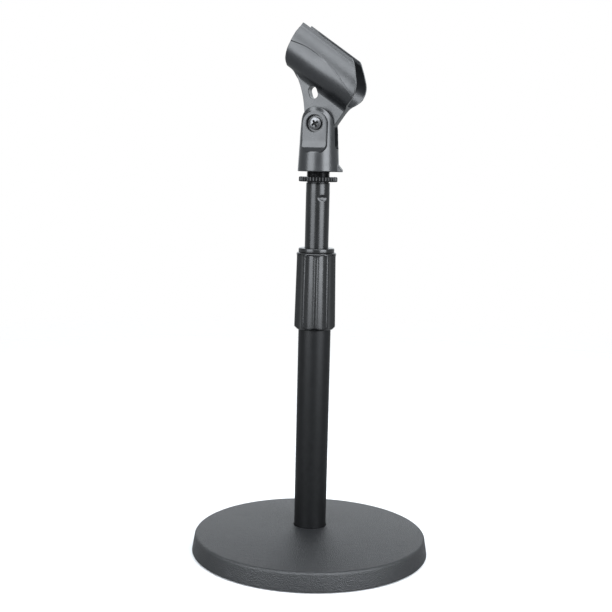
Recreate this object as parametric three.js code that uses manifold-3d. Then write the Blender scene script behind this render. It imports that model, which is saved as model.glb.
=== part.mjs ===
import * as THREE from 'three';
import { mergeVertices } from 'three/addons/utils/BufferGeometryUtils.js';
import Module from 'manifold-3d';

const wasm = await Module();
wasm.setup();

// ---------- driving dimensions, in millimetres, +Z up ----------

// round base
const BASE_R_BOTTOM = 81.7;
const BASE_R_TOP = 80.0;
const BASE_EDGE_ROUND = 2.2;
const BASE_Z_BOTTOM = 1.0;
const BASE_FOOT_CHAMFER = 0.6;
const BASE_Z_RIM = 13.6;
const BASE_Z_CENTRE = 19.3;
const BASE_SEAT_R = 13.5;
const TUBE_SEAT_GAP = 0.3;
const RECESS_R_OUT = 64.0;
const RECESS_R_IN = 20.0;
const RECESS_Z_TOP = 5.5;
const RECESS_DRAFT = 1.0;
const BOLT_WELL_R = 12.0;
const BOLT_WELL_Z_TOP = 11.5;
const BASE_HOLE_R = 4.4;
const TUBE_SEAT_Z = 17.7;

// rubber feet
const FOOT_COUNT = 4;
const FOOT_CIRCLE_R = 73.3;
const FOOT_R = 5.5;
const FOOT_HEIGHT = 2.4;
const FOOT_CHAMFER = 0.6;
const FOOT_POCKET_GAP = 0.3;

// base bolt and its washers
const BOLT_R = 4.0;
const BOLT_FLATS = 13.0;
const BOLT_HEAD_HEIGHT = 5.2;
const BOLT_HEAD_FACE_R = 6.3;
const BOLT_HEAD_CHAMFER = 0.9;
const BOLT_Z1 = 35.5;
const WASHER_BORE_GAP = 0.3;
const FLAT_WASHER_R = 8.5;
const FLAT_WASHER_THICK = 1.6;
const SPRING_WASHER_R = 7.0;
const SPRING_WASHER_THICK = 2.1;
const SPRING_WASHER_SPLIT = 0.9;
const SPRING_WASHER_SPLIT_DEG = 22.0;
const STACK_GAP = 0.1;

// fixed lower tube
const LOWER_R = 11.0;
const LOWER_WALL = 1.5;
const LOWER_Z0 = 18.0;
const LOWER_Z1 = 189.0;
const PLUG_Z1 = 40.0;
const PRESS_GAP = 0.15;
const TUBE_CHAMFER = 0.4;

// twist clutch
const GRIP_Z0 = 157.0;
const GRIP_Z1 = 209.2;
const GRIP_R_BOTTOM = 14.5;
const GRIP_R_TOP = 13.5;
const GRIP_CHAMFER = 2.2;
const GRIP_SHOULDER = 0.6;
const FLUTE_COUNT = 10;
const FLUTE_DEPTH = 1.2;
const FLUTE_TOP_MARGIN = 0.9;
const FLUTE_TOP_SLOPE = 0.6;
const FLUTE_SPAN_DEG = 29.0;
const FLUTE_ARCH = 1.9;
const LAND_AZIMUTH_DEG = -74.5;
const COLLAR_R = 12.1;
const COLLAR_Z1 = 212.1;
const NUT_BORE_R = 11.3;
const WIPER_Z = 210.4;
const WIPER_GROOVE = 0.9;
const CONE_TOP_R = 9.3;
const CONE_Z0 = 202.4;
const CONE_Z1 = 207.6;
const SPIGOT_Z0 = 207.9;
const COLLET_R = 10.8;
const COLLET_SLIT = 1.6;
const COLLAR_BORE_R = 8.45;
const FERRULE_Z0 = 166.6;
const FERRULE_FLANGE_Z1 = 191.6;

// sliding upper tube
const UPPER_R = 8.0;
const UPPER_WALL = 1.2;
const UPPER_Z0 = 78.0;
const UPPER_Z1 = 255.9;
const SLIDE_CLEARANCE = 0.15;
const BUSH_LENGTH = 20.0;
const DIMPLE_Z = 245.8;
const DIMPLE_AZIMUTH_DEG = -49.5;
const DIMPLE_WIDTH = 8.4;
const DIMPLE_HEIGHT = 5.0;
const DIMPLE_DEPTH = 0.9;

// threaded stud and lock ring
const STUD_R = 7.85;
const STUD_Z0 = 238.0;
const STUD_Z1 = 275.3;
const STUD_CHAMFER = 1.0;
const RING_R = 13.0;
const RING_Z0 = 256.6;
const RING_Z1 = 259.9;
const RING_TEETH = 36;
const RING_TOOTH_DEPTH = 1.1;

// clevis of the clip; rises are measured from its lower face
const CLIP_Z0 = 263.3;
const CLIP_R0 = 13.95;
const CLIP_R1 = 13.3;
const CLIP_R2 = 12.5;
const CLIP_R3 = 12.2;
const CLIP_RISE1 = 13.0;
const CLIP_RISE2 = 31.0;
const CLIP_RISE3 = 45.0;
const CLIP_CHAMFER = 0.5;
const PIVOT_RISE = 31.5;
const EAR_TOP_R = 11.0;
const EAR_SHOULDER_RISE = 18.0;
const PAD_Y = 12.4;
const PAD_HALF_X = 8.2;
const PAD_RISE = 12.7;
const PAD_CORNER = 5.0;
const PAD_RIDGE_Y = 14.0;
const PAD_RIDGE_RISE = 16.2;
const SLOT_HALF = 4.55;
const SLOT_RISE = 15.0;
const SLOT_CORNER = 3.0;
const INSERT_R = 9.6;
const INSERT_DEPTH = 13.0;
const INSERT_BORE_R = 8.1;
const INSERT_END_GAP = 0.3;
const FIN_R = 16.4;
const FIN_RISE = 5.0;
const FIN_TIP_RISE = 1.6;
const FIN_HALF_Y = 2.3;

// pivot hardware; reaches are measured from the middle of the clevis, to the front or to the rear
const PIVOT_SCREW_R = 2.5;
const PIVOT_HOLE_R = 2.75;
const HEAD_R = 4.15;
const HEAD_RECESS_R = 5.7;
const HEAD_RECESS_REACH = 9.2;
const HEAD_REACH = 12.0;
const HEAD_CHAMFER = 0.7;
const CROSS_LENGTH = 4.8;
const CROSS_WIDTH = 1.1;
const CROSS_DEPTH = 0.8;
const CROSS_TURN_DEG = 28.0;
const NUT_FLATS = 8.0;
const NUT_POCKET_FLATS = 8.4;
const NUT_POCKET_REACH = 8.4;
const NUT_REACH = 12.2;
const NUT_BORE_GAP = 0.3;
const SCREW_END_REACH = 11.2;
const WASHER_R = 6.5;
const WASHER_IN_REACH = 3.55;
const WASHER_OUT_REACH = 4.25;
const PIVOT_GAP = 0.3;

// holder, in its own frame: u along the channel to the mouth, v out of the channel, w across it
const HOLDER_TILT_DEG = 34.8;
const WEB_HALF = 4.25;
const TONGUE_R = 10.0;
const LIP_V = 48.0;
const LIP_BAND = 2.3;
const LIP_HALF = 12.0;
const HULL_HALF = 15.9;
const HULL_TAIL_SCALE = 0.91;
const HULL_AXIS_V = 33.8;
const HULL_TAPER_START_U = 5.0;
const HULL_TAPER_LENGTH = 54.0;
const HULL_OUTER_R = 15.6;
const HULL_WALL = 2.0;
const FLANK_RISE = 18.1;
const LIP_BEAD = 0.35;
const CREASE_STEP_TAIL = 0.45;
const CREASE_STEP_MOUTH = -0.4;
const KEEL_FILLET = 4.5;
const HOLDER_TAIL_U = -45.2;
const HOLDER_MOUTH_U = 11.6;
const WINDOW_U = -14.8;
const WINDOW_V = 14.8;
const WINDOW_HALF_WIDTH = 2.8;
const WINDOW_HALF_LENGTH = 4.2;
const WINDOW_TURN_DEG = -39.0;

// facets round a full circle
const SEG_BASE = 72;
const SEG_TUBE = 40;
const SEG_SMALL = 24;
const SEG_GRIP = 100;

// length of a cutting tool that runs right through
const THROUGH = 20;

// ---------- shared helpers ----------

const rad = (deg) => deg * Math.PI / 180;

const lerp = (a, b, t) => a + (b - a) * t;

const clamp01 = (t) => Math.min(1, Math.max(0, t));

const vectors = (points) => points.map(([x, y]) => new THREE.Vector2(x, y));

function arc(cx, cy, r, fromDeg, toDeg, steps) {
  const points = [];
  for (let i = 0; i <= steps; i += 1) {
    const a = rad(lerp(fromDeg, toDeg, i / steps));
    points.push([cx + r * Math.cos(a), cy + r * Math.sin(a)]);
  }
  return points;
}

function circle(r, segments, cy = 0) {
  return arc(0, cy, r, 0, 360 - 360 / segments, segments - 1);
}

function hexagon(flats, cy = 0) {
  return circle(flats / Math.sqrt(3), 6, cy);
}

// merges shared corners and drops triangles with no area, which leaves one closed skin
function weld(geometry) {
  geometry.deleteAttribute('normal');
  geometry.deleteAttribute('uv');
  const merged = mergeVertices(geometry);
  const corners = merged.index.array;
  const kept = [];
  for (let i = 0; i < corners.length; i += 3) {
    const [a, b, c] = corners.slice(i, i + 3);
    if (a !== b && b !== c && c !== a) kept.push(a, b, c);
  }
  merged.setIndex(kept);
  return merged;
}

// a closed (radius, height) outline turned about Z
function revolve(outline, segments) {
  const points = vectors(outline);
  const closed = THREE.ShapeUtils.isClockWise(points) ? points.reverse() : points;
  const geometry = new THREE.LatheGeometry([...closed, closed[0]], segments);
  return weld(geometry).rotateX(Math.PI / 2);
}

function sleeve(rIn, rOut, z0, z1, segments) {
  return revolve([[rIn, z0], [rOut, z0], [rOut, z1], [rIn, z1]], segments);
}

function disc(r, z0, z1, segments) {
  return sleeve(0, r, z0, z1, segments);
}

// outline (x, y) pushed along Z
function extrudeZ(outline, z0, z1) {
  const options = { depth: z1 - z0, bevelEnabled: false };
  const geometry = new THREE.ExtrudeGeometry(new THREE.Shape(vectors(outline)), options);
  return weld(geometry).translate(0, 0, z0);
}

// outline (x, z) pushed along Y
function extrudeY(outline, y0, y1) {
  return extrudeZ(outline, -y1, -y0).rotateX(Math.PI / 2);
}

// outline (y, z) pushed along X
function extrudeX(outline, x0, x1) {
  return extrudeZ(outline, x0, x1).rotateX(Math.PI / 2).rotateZ(Math.PI / 2);
}

function toSolid(geometry) {
  return new wasm.Manifold(new wasm.Mesh({
    numProp: 3,
    vertProperties: Float32Array.from(geometry.attributes.position.array),
    triVerts: Uint32Array.from(geometry.index.array),
  }));
}

function toGeometry(solid) {
  const { vertProperties, triVerts } = solid.getMesh();
  const geometry = new THREE.BufferGeometry();
  geometry.setAttribute('position', new THREE.BufferAttribute(Float32Array.from(vertProperties), 3));
  geometry.setIndex(new THREE.BufferAttribute(Uint32Array.from(triVerts), 1));
  return geometry;
}

function cut(solid, ...tools) {
  return tools.reduce((left, tool) => left.subtract(toSolid(tool)), solid);
}

function piece(name, geometry, material) {
  geometry.computeVertexNormals();
  const mesh = new THREE.Mesh(geometry, material);
  mesh.name = name;
  return mesh;
}

// ---------- base ----------

const BASE_RIM_R = BASE_R_TOP - BASE_EDGE_ROUND;

function baseOutside() {
  const edge = arc(BASE_RIM_R, BASE_Z_RIM - BASE_EDGE_ROUND, BASE_EDGE_ROUND, 0, 86, 5);
  const dome = [0.2, 0.4, 0.6, 0.8, 1].map((t) => [
    lerp(BASE_RIM_R, BASE_SEAT_R, t),
    lerp(BASE_Z_RIM, BASE_Z_CENTRE, Math.sin(t * Math.PI / 2)),
  ]);
  return [
    [BASE_R_BOTTOM - BASE_FOOT_CHAMFER, BASE_Z_BOTTOM],
    [BASE_R_BOTTOM, BASE_Z_BOTTOM + BASE_FOOT_CHAMFER],
    ...edge,
    ...dome,
  ];
}

function baseCasting() {
  const body = revolve([
    ...baseOutside(),
    [LOWER_R + TUBE_SEAT_GAP, BASE_Z_CENTRE],
    [LOWER_R + TUBE_SEAT_GAP, TUBE_SEAT_Z],
    [BASE_HOLE_R, TUBE_SEAT_Z],
    [BASE_HOLE_R, BOLT_WELL_Z_TOP],
    [BOLT_WELL_R, BOLT_WELL_Z_TOP],
    [BOLT_WELL_R, BASE_Z_BOTTOM],
    [RECESS_R_IN, BASE_Z_BOTTOM],
    [RECESS_R_IN + RECESS_DRAFT, RECESS_Z_TOP],
    [RECESS_R_OUT - RECESS_DRAFT, RECESS_Z_TOP],
    [RECESS_R_OUT, BASE_Z_BOTTOM],
  ], SEG_BASE);
  const pockets = footCentres().map(([x, y]) => (
    disc(FOOT_R + FOOT_POCKET_GAP, -1, FOOT_HEIGHT + FOOT_POCKET_GAP, SEG_SMALL).translate(x, y, 0)
  ));
  return toGeometry(cut(toSolid(body), ...pockets));
}

function footCentres() {
  const firstDeg = 45;
  return arc(0, 0, FOOT_CIRCLE_R, firstDeg, firstDeg + 360 - 360 / FOOT_COUNT, FOOT_COUNT - 1);
}

function baseFoot() {
  return revolve([
    [0, 0],
    [FOOT_R - FOOT_CHAMFER, 0],
    [FOOT_R, FOOT_CHAMFER],
    [FOOT_R, FOOT_HEIGHT],
    [0, FOOT_HEIGHT],
  ], SEG_SMALL);
}

const FLAT_WASHER_Z1 = BOLT_WELL_Z_TOP - STACK_GAP;
const FLAT_WASHER_Z0 = FLAT_WASHER_Z1 - FLAT_WASHER_THICK;
const SPRING_WASHER_Z1 = FLAT_WASHER_Z0 - STACK_GAP;
const SPRING_WASHER_Z0 = SPRING_WASHER_Z1 - SPRING_WASHER_THICK;
const BOLT_HEAD_Z1 = SPRING_WASHER_Z0 - STACK_GAP;
const BOLT_HEAD_Z0 = BOLT_HEAD_Z1 - BOLT_HEAD_HEIGHT;

function baseBolt() {
  const overlap = 1;
  const top = BOLT_HEAD_Z1 + overlap;
  const head = toSolid(extrudeZ(hexagon(BOLT_FLATS), BOLT_HEAD_Z0, BOLT_HEAD_Z1));
  const crown = revolve([
    [0, BOLT_HEAD_Z0 - overlap],
    [BOLT_HEAD_FACE_R, BOLT_HEAD_Z0 - overlap],
    [BOLT_HEAD_FACE_R, BOLT_HEAD_Z0],
    [BOLT_FLATS * 0.6, BOLT_HEAD_Z0 + BOLT_HEAD_CHAMFER],
    [BOLT_FLATS * 0.6, top],
    [0, top],
  ], SEG_SMALL);
  const shank = disc(BOLT_R, BOLT_HEAD_Z1 - overlap, BOLT_Z1, SEG_SMALL);
  return toGeometry(head.intersect(toSolid(crown)).add(toSolid(shank)));
}

function baseFlatWasher() {
  return sleeve(BOLT_R + WASHER_BORE_GAP, FLAT_WASHER_R, FLAT_WASHER_Z0, FLAT_WASHER_Z1, SEG_SMALL);
}

function baseSpringWasher() {
  const bore = BOLT_R + WASHER_BORE_GAP;
  const ring = sleeve(bore, SPRING_WASHER_R, SPRING_WASHER_Z0, SPRING_WASHER_Z1, SEG_SMALL);
  const split = weld(new THREE.BoxGeometry(SPRING_WASHER_R, SPRING_WASHER_SPLIT, 4 * SPRING_WASHER_THICK));
  split.rotateX(rad(SPRING_WASHER_SPLIT_DEG));
  split.translate(bore / 2 + SPRING_WASHER_R / 2, 0, (SPRING_WASHER_Z0 + SPRING_WASHER_Z1) / 2);
  return toGeometry(cut(toSolid(ring), split));
}

// ---------- lower tube and clutch ----------

const LOWER_BORE_R = LOWER_R - LOWER_WALL;
const UPPER_PATH_R = UPPER_R + SLIDE_CLEARANCE;

function lowerTube() {
  return revolve([
    [LOWER_BORE_R, LOWER_Z0],
    [LOWER_R - TUBE_CHAMFER, LOWER_Z0],
    [LOWER_R, LOWER_Z0 + TUBE_CHAMFER],
    [LOWER_R, LOWER_Z1],
    [LOWER_BORE_R, LOWER_Z1],
  ], SEG_TUBE);
}

function tubeFootPlug() {
  const chamfer = 1;
  const rOut = LOWER_BORE_R - PRESS_GAP;
  const rIn = BOLT_R + WASHER_BORE_GAP;
  return revolve([
    [rIn, LOWER_Z0],
    [rOut, LOWER_Z0],
    [rOut, PLUG_Z1 - chamfer],
    [rOut - chamfer, PLUG_Z1],
    [rIn + chamfer, PLUG_Z1],
    [rIn, PLUG_Z1 - chamfer],
  ], SEG_TUBE);
}

function clutchFerrule() {
  const rOut = LOWER_BORE_R - PRESS_GAP;
  const flangeZ0 = LOWER_Z1 + 0.3;
  return revolve([
    [UPPER_PATH_R, FERRULE_Z0],
    [rOut, FERRULE_Z0],
    [rOut, flangeZ0],
    [LOWER_R, flangeZ0],
    [LOWER_R, FERRULE_FLANGE_Z1],
    [LOWER_R - 0.6, FERRULE_FLANGE_Z1],
    [UPPER_PATH_R, flangeZ0 + 0.3],
  ], SEG_TUBE);
}

function clutchCollet() {
  const ring = revolve([
    [UPPER_PATH_R, FERRULE_FLANGE_Z1 - 1.3],
    [UPPER_PATH_R + 0.6, FERRULE_FLANGE_Z1 - 1.3],
    [LOWER_R - 0.8, FERRULE_FLANGE_Z1 + 0.4],
    [COLLET_R, FERRULE_FLANGE_Z1 + 1.2],
    [COLLET_R, CONE_Z0 - 0.6],
    [UPPER_PATH_R + 0.7, CONE_Z1],
    [UPPER_PATH_R, CONE_Z1],
  ], SEG_TUBE);
  const slit = weld(new THREE.BoxGeometry(2 * LOWER_R, COLLET_SLIT, 2 * THROUGH));
  slit.translate(LOWER_R + 1, 0, CONE_Z0);
  return toGeometry(cut(toSolid(ring), slit));
}

function clutchCollar() {
  const spigotR = CONE_TOP_R + 1.2;
  const seatZ = GRIP_Z1 + STACK_GAP;
  const chamfer = 0.6;
  return revolve([
    [COLLAR_BORE_R, SPIGOT_Z0],
    [spigotR, SPIGOT_Z0],
    [spigotR, seatZ],
    [COLLAR_R - 0.2, seatZ],
    [COLLAR_R, seatZ + 0.2],
    [COLLAR_R, COLLAR_Z1 - chamfer],
    [COLLAR_R - chamfer, COLLAR_Z1],
    [COLLAR_BORE_R + 0.3, COLLAR_Z1],
    [COLLAR_BORE_R, COLLAR_Z1 - 0.3],
    [COLLAR_BORE_R, WIPER_Z + WIPER_GROOVE],
    [COLLAR_BORE_R + WIPER_GROOVE, WIPER_Z + WIPER_GROOVE],
    [COLLAR_BORE_R + WIPER_GROOVE, WIPER_Z - WIPER_GROOVE],
    [COLLAR_BORE_R, WIPER_Z - WIPER_GROOVE],
  ], SEG_TUBE);
}

function wiperRing() {
  const outer = COLLAR_BORE_R + WIPER_GROOVE - STACK_GAP;
  const half = (outer - UPPER_PATH_R) / 2;
  return revolve(arc(UPPER_PATH_R + half, WIPER_Z, half, 0, 315, 7), SEG_TUBE);
}

function gripRadius(z) {
  return lerp(GRIP_R_BOTTOM, GRIP_R_TOP, (z - GRIP_Z0) / (GRIP_Z1 - GRIP_Z0));
}

// depth of the flutes below the sleeve's surface; the angle is counted from the middle of a land
function fluteCut(deg, z) {
  const pitch = 360 / FLUTE_COUNT;
  const turned = (deg % pitch + pitch) % pitch;
  const across = (turned - pitch / 2) / (FLUTE_SPAN_DEG / 2);
  if (Math.abs(across) >= 1) return 0;
  const hollow = 1 - across * across;
  const top = GRIP_Z1 - FLUTE_TOP_MARGIN - FLUTE_ARCH * (1 - Math.sqrt(hollow));
  return FLUTE_DEPTH * hollow * clamp01((top - z) / FLUTE_TOP_SLOPE);
}

function clutchGrip() {
  const counterboreR = CONE_TOP_R + 1.35;
  const belowTop = [3.4, 2.4, 1.7, 1.2, GRIP_SHOULDER];
  const geometry = revolve([
    [NUT_BORE_R, GRIP_Z0],
    [GRIP_R_BOTTOM - GRIP_CHAMFER, GRIP_Z0],
    [gripRadius(GRIP_Z0 + GRIP_CHAMFER), GRIP_Z0 + GRIP_CHAMFER],
    ...belowTop.map((drop) => [gripRadius(GRIP_Z1 - drop), GRIP_Z1 - drop]),
    [GRIP_R_TOP - GRIP_SHOULDER, GRIP_Z1],
    [counterboreR, GRIP_Z1],
    [counterboreR, CONE_Z1],
    [CONE_TOP_R, CONE_Z1],
    [NUT_BORE_R, CONE_Z0],
  ], SEG_GRIP);
  // a column of the turned surface starts on a land
  geometry.rotateZ(rad(LAND_AZIMUTH_DEG + 90));
  const skin = geometry.attributes.position;
  const point = new THREE.Vector3();
  for (let i = 0; i < skin.count; i += 1) {
    point.fromBufferAttribute(skin, i);
    const r = Math.hypot(point.x, point.y);
    const outside = r > gripRadius(point.z) - 0.01;
    if (outside) {
      const azimuth = THREE.MathUtils.radToDeg(Math.atan2(point.y, point.x));
      const sunk = (r - fluteCut(azimuth - LAND_AZIMUTH_DEG, point.z)) / r;
      skin.setXY(i, point.x * sunk, point.y * sunk);
    }
  }
  return geometry;
}

// ---------- upper tube, stud and lock ring ----------

const UPPER_BORE_R = UPPER_R - UPPER_WALL;

function upperTube() {
  const tube = sleeve(UPPER_BORE_R, UPPER_R, UPPER_Z0, UPPER_Z1, SEG_TUBE);
  const dimple = weld(new THREE.SphereGeometry(1, SEG_SMALL, SEG_SMALL / 2));
  dimple.scale(DIMPLE_DEPTH, DIMPLE_WIDTH / 2, DIMPLE_HEIGHT / 2);
  dimple.translate(UPPER_R, 0, DIMPLE_Z).rotateZ(rad(DIMPLE_AZIMUTH_DEG));
  return toGeometry(cut(toSolid(tube), dimple));
}

function guideBush() {
  const chamfer = 0.5;
  const rIn = UPPER_R + PRESS_GAP;
  const rOut = LOWER_BORE_R - SLIDE_CLEARANCE;
  return revolve([
    [rIn, UPPER_Z0],
    [rOut - chamfer, UPPER_Z0],
    [rOut, UPPER_Z0 + chamfer],
    [rOut, UPPER_Z0 + BUSH_LENGTH - chamfer],
    [rOut - chamfer, UPPER_Z0 + BUSH_LENGTH],
    [rIn, UPPER_Z0 + BUSH_LENGTH],
  ], SEG_TUBE);
}

function threadStud() {
  const shank = UPPER_BORE_R - PRESS_GAP;
  const shoulderZ = UPPER_Z1 + STACK_GAP;
  return revolve([
    [0, STUD_Z0],
    [shank - STUD_CHAMFER, STUD_Z0],
    [shank, STUD_Z0 + STUD_CHAMFER],
    [shank, shoulderZ],
    [STUD_R, shoulderZ],
    [STUD_R, STUD_Z1 - STUD_CHAMFER],
    [STUD_R - STUD_CHAMFER, STUD_Z1],
    [0, STUD_Z1],
  ], SEG_TUBE);
}

function lockRing() {
  const root = RING_R - RING_TOOTH_DEPTH;
  const tooth = [[0.10, root], [0.35, RING_R], [0.65, RING_R], [0.90, root]];
  const outline = [];
  for (let i = 0; i < RING_TEETH; i += 1) {
    for (const [shift, r] of tooth) {
      const a = 2 * Math.PI * (i + shift) / RING_TEETH;
      outline.push([r * Math.cos(a), r * Math.sin(a)]);
    }
  }
  const body = toSolid(extrudeZ(outline, RING_Z0, RING_Z1));
  return toGeometry(cut(body, disc(STUD_R + PRESS_GAP, RING_Z0 - 1, RING_Z1 + 1, SEG_TUBE)));
}

// ---------- clevis, drawn with its lower face at z = 0 ----------

function clipCone() {
  return revolve([
    [0, 0],
    [CLIP_R0 - CLIP_CHAMFER, 0],
    [CLIP_R0, CLIP_CHAMFER],
    [CLIP_R1, CLIP_RISE1],
    [CLIP_R2, CLIP_RISE2],
    [CLIP_R3, CLIP_RISE3],
    [0, CLIP_RISE3],
  ], SEG_TUBE);
}

// front view of the two ears, round about the pivot at their tops
function earOutline() {
  const wide = CLIP_R0 + 1;
  return [
    [-wide, -1],
    [wide, -1],
    [CLIP_R1, EAR_SHOULDER_RISE],
    ...arc(0, PIVOT_RISE, EAR_TOP_R, 4, 176, 18),
    [-CLIP_R1, EAR_SHOULDER_RISE],
  ];
}

function padOutline(grow) {
  const corner = PAD_CORNER + grow;
  const inner = PAD_HALF_X - PAD_CORNER;
  const z = PAD_RISE + PAD_CORNER;
  return [
    ...arc(inner, z, corner, -90, 0, 4),
    ...arc(0, PIVOT_RISE, PAD_HALF_X + grow, 0, 180, 16),
    ...arc(-inner, z, corner, 180, 270, 4),
  ];
}

// leaves the flat face, the hollow at its foot, a ridge and an undercut; side is -1 in front, 1 behind
function padClearance(side) {
  const profile = [
    [PAD_Y, CLIP_RISE3],
    [PAD_Y, 20.8],
    [PAD_Y + 0.2, 19.6],
    [PAD_Y + 0.7, 18.3],
    [PAD_RIDGE_Y, PAD_RIDGE_RISE],
    [PAD_RIDGE_Y - 0.1, PAD_RIDGE_RISE - 0.6],
    [PAD_RIDGE_Y - 1.1, PAD_RISE],
    [THROUGH, PAD_RISE - 1],
    [THROUGH, CLIP_RISE3],
  ];
  const clear = extrudeX(profile.map(([y, z]) => [side * y, z]), -THROUGH, THROUGH);
  const mask = extrudeY(padOutline(0.03), -THROUGH - 1, THROUGH + 1);
  return toGeometry(toSolid(clear).intersect(toSolid(mask)));
}

function slotTool() {
  const inner = SLOT_HALF - SLOT_CORNER;
  return extrudeX([
    [SLOT_HALF, CLIP_RISE3 + 1],
    [-SLOT_HALF, CLIP_RISE3 + 1],
    ...arc(-inner, SLOT_RISE + SLOT_CORNER, SLOT_CORNER, 180, 270, 4),
    ...arc(inner, SLOT_RISE + SLOT_CORNER, SLOT_CORNER, 270, 360, 4),
  ], -THROUGH, THROUGH);
}

function clipFin() {
  const root = CLIP_R0 - 2;
  return extrudeY([
    [root, 0],
    [FIN_R, 0],
    [FIN_R, FIN_TIP_RISE],
    [CLIP_R0 - 0.4, FIN_RISE],
    [root, FIN_RISE],
  ], -FIN_HALF_Y, FIN_HALF_Y);
}

function clipBase() {
  const pads = extrudeY(padOutline(0), -PAD_RIDGE_Y - 0.5, PAD_RIDGE_Y + 0.5);
  let clevis = toSolid(clipCone()).intersect(toSolid(extrudeY(earOutline(), -THROUGH, THROUGH)));
  clevis = clevis.add(toSolid(pads));
  clevis = cut(clevis, padClearance(-1), padClearance(1), slotTool());
  clevis = clevis.add(toSolid(clipFin()));
  return toGeometry(cut(
    clevis,
    disc(INSERT_R, -1, INSERT_DEPTH, SEG_TUBE),
    extrudeY(circle(PIVOT_HOLE_R, SEG_SMALL, PIVOT_RISE), -THROUGH, THROUGH),
    extrudeY(circle(HEAD_RECESS_R, SEG_SMALL, PIVOT_RISE), -THROUGH, -HEAD_RECESS_REACH),
    extrudeY(hexagon(NUT_POCKET_FLATS, PIVOT_RISE), NUT_POCKET_REACH, THROUGH),
  ));
}

function clipThreadInsert() {
  const z1 = INSERT_DEPTH - INSERT_END_GAP;
  return sleeve(INSERT_BORE_R, INSERT_R - PRESS_GAP, INSERT_END_GAP, z1, SEG_TUBE);
}

// ---------- pivot hardware, drawn about the pivot with z towards the front ----------

function frictionWasher(side) {
  const z0 = Math.min(side * WASHER_IN_REACH, side * WASHER_OUT_REACH);
  return sleeve(PIVOT_HOLE_R, WASHER_R, z0, z0 + WASHER_OUT_REACH - WASHER_IN_REACH, SEG_SMALL);
}

function pivotScrew() {
  const seat = HEAD_RECESS_REACH + PIVOT_GAP;
  const screw = revolve([
    [0, -SCREW_END_REACH],
    [PIVOT_SCREW_R, -SCREW_END_REACH],
    [PIVOT_SCREW_R, seat],
    [HEAD_R, seat],
    [HEAD_R, HEAD_REACH - HEAD_CHAMFER],
    [HEAD_R - HEAD_CHAMFER, HEAD_REACH],
    [0, HEAD_REACH],
  ], SEG_SMALL);
  const blades = [CROSS_TURN_DEG, CROSS_TURN_DEG + 90].map((deg) => {
    const blade = weld(new THREE.BoxGeometry(CROSS_LENGTH, CROSS_WIDTH, 2 * CROSS_DEPTH));
    return blade.rotateZ(rad(deg)).translate(0, 0, HEAD_REACH);
  });
  return toGeometry(cut(toSolid(screw), ...blades));
}

function pivotNut() {
  const front = -NUT_POCKET_REACH - PIVOT_GAP;
  const nut = toSolid(extrudeZ(hexagon(NUT_FLATS), -NUT_REACH, front));
  const bore = PIVOT_SCREW_R + NUT_BORE_GAP;
  return toGeometry(cut(nut, disc(bore, -NUT_REACH - 1, front + 1, SEG_SMALL)));
}

// ---------- holder, drawn about the pivot in its own frame ----------

// height of the crease line along the flank, (u, v)
const CREASE = [[-45, 34.0], [-39, 35.9], [-34, 37.0], [-28, 37.5], [-22, 37.4], [-15.6, 36.7],
  [-10, 35.8], [-5.5, 34.5], [-0.5, 32.9], [4.7, 31.4], [12, 29.1]];

function creaseHeight(u) {
  const next = CREASE.findIndex(([point]) => u <= point);
  if (next === 0) return CREASE[0][1];
  if (next < 0) return CREASE[CREASE.length - 1][1];
  const [u0, v0] = CREASE[next - 1];
  const [u1, v1] = CREASE[next];
  return lerp(v0, v1, (u - u0) / (u1 - u0));
}

function taper(u) {
  return lerp(1, HULL_TAIL_SCALE, clamp01((HULL_TAPER_START_U - u) / HULL_TAPER_LENGTH));
}

// a point of the flank: tall ellipse above the channel's axis, round below it
function flank(angle, wide) {
  const reach = angle > 0 ? FLANK_RISE : HULL_OUTER_R;
  return [wide * Math.cos(angle), HULL_AXIS_V + reach * Math.sin(angle)];
}

function flankAngle(v) {
  const rise = v - HULL_AXIS_V;
  return Math.asin(rise / (rise > 0 ? FLANK_RISE : HULL_OUTER_R));
}

// from the hull's underside to the middle: round at the tail, a hollow fillet into the web ahead of it
function keelHalf(u, wide, tangent) {
  const keel = clamp01((u + 38) / 11);
  const centreX = WEB_HALF + KEEL_FILLET;
  const centreV = HULL_AXIS_V + (HULL_OUTER_R + KEEL_FILLET) * Math.sin(tangent);
  const points = [0.5, 1].map((t) => {
    const bare = flank(lerp(tangent, rad(-90), t), wide);
    const turn = lerp(tangent, 0, t);
    const hollow = [centreX - KEEL_FILLET * Math.cos(turn), centreV - KEEL_FILLET * Math.sin(turn)];
    return [lerp(bare[0], hollow[0], keel), lerp(bare[1], hollow[1], keel)];
  });
  return [...points, [0, points[1][1]]];
}

// half of the outer outline, (half width, v), from lip to keel
function outerHalf(u) {
  const scale = taper(u);
  const crease = creaseHeight(u);
  const wide = HULL_HALF * scale;
  const lip = LIP_HALF * scale;
  const bandV = LIP_V - LIP_BAND;
  const step = lerp(CREASE_STEP_TAIL, CREASE_STEP_MOUTH, clamp01((u + 26) / 22));
  const tangent = -Math.acos((WEB_HALF + KEEL_FILLET) / (HULL_OUTER_R + KEEL_FILLET));
  const rows = [0, 0.25, 0.5, 0.75, 1];
  const above = rows.map((t) => flank(lerp(flankAngle(bandV - 0.5), flankAngle(crease), t), wide));
  const below = rows.map((t) => {
    const [across, v] = flank(lerp(flankAngle(crease - 0.55), tangent, t), wide);
    return [across - step * (1 - t) ** 2, v];
  });
  return [[lip, LIP_V], [lip + LIP_BEAD, bandV], ...above, ...below, ...keelHalf(u, wide, tangent)];
}

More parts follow.
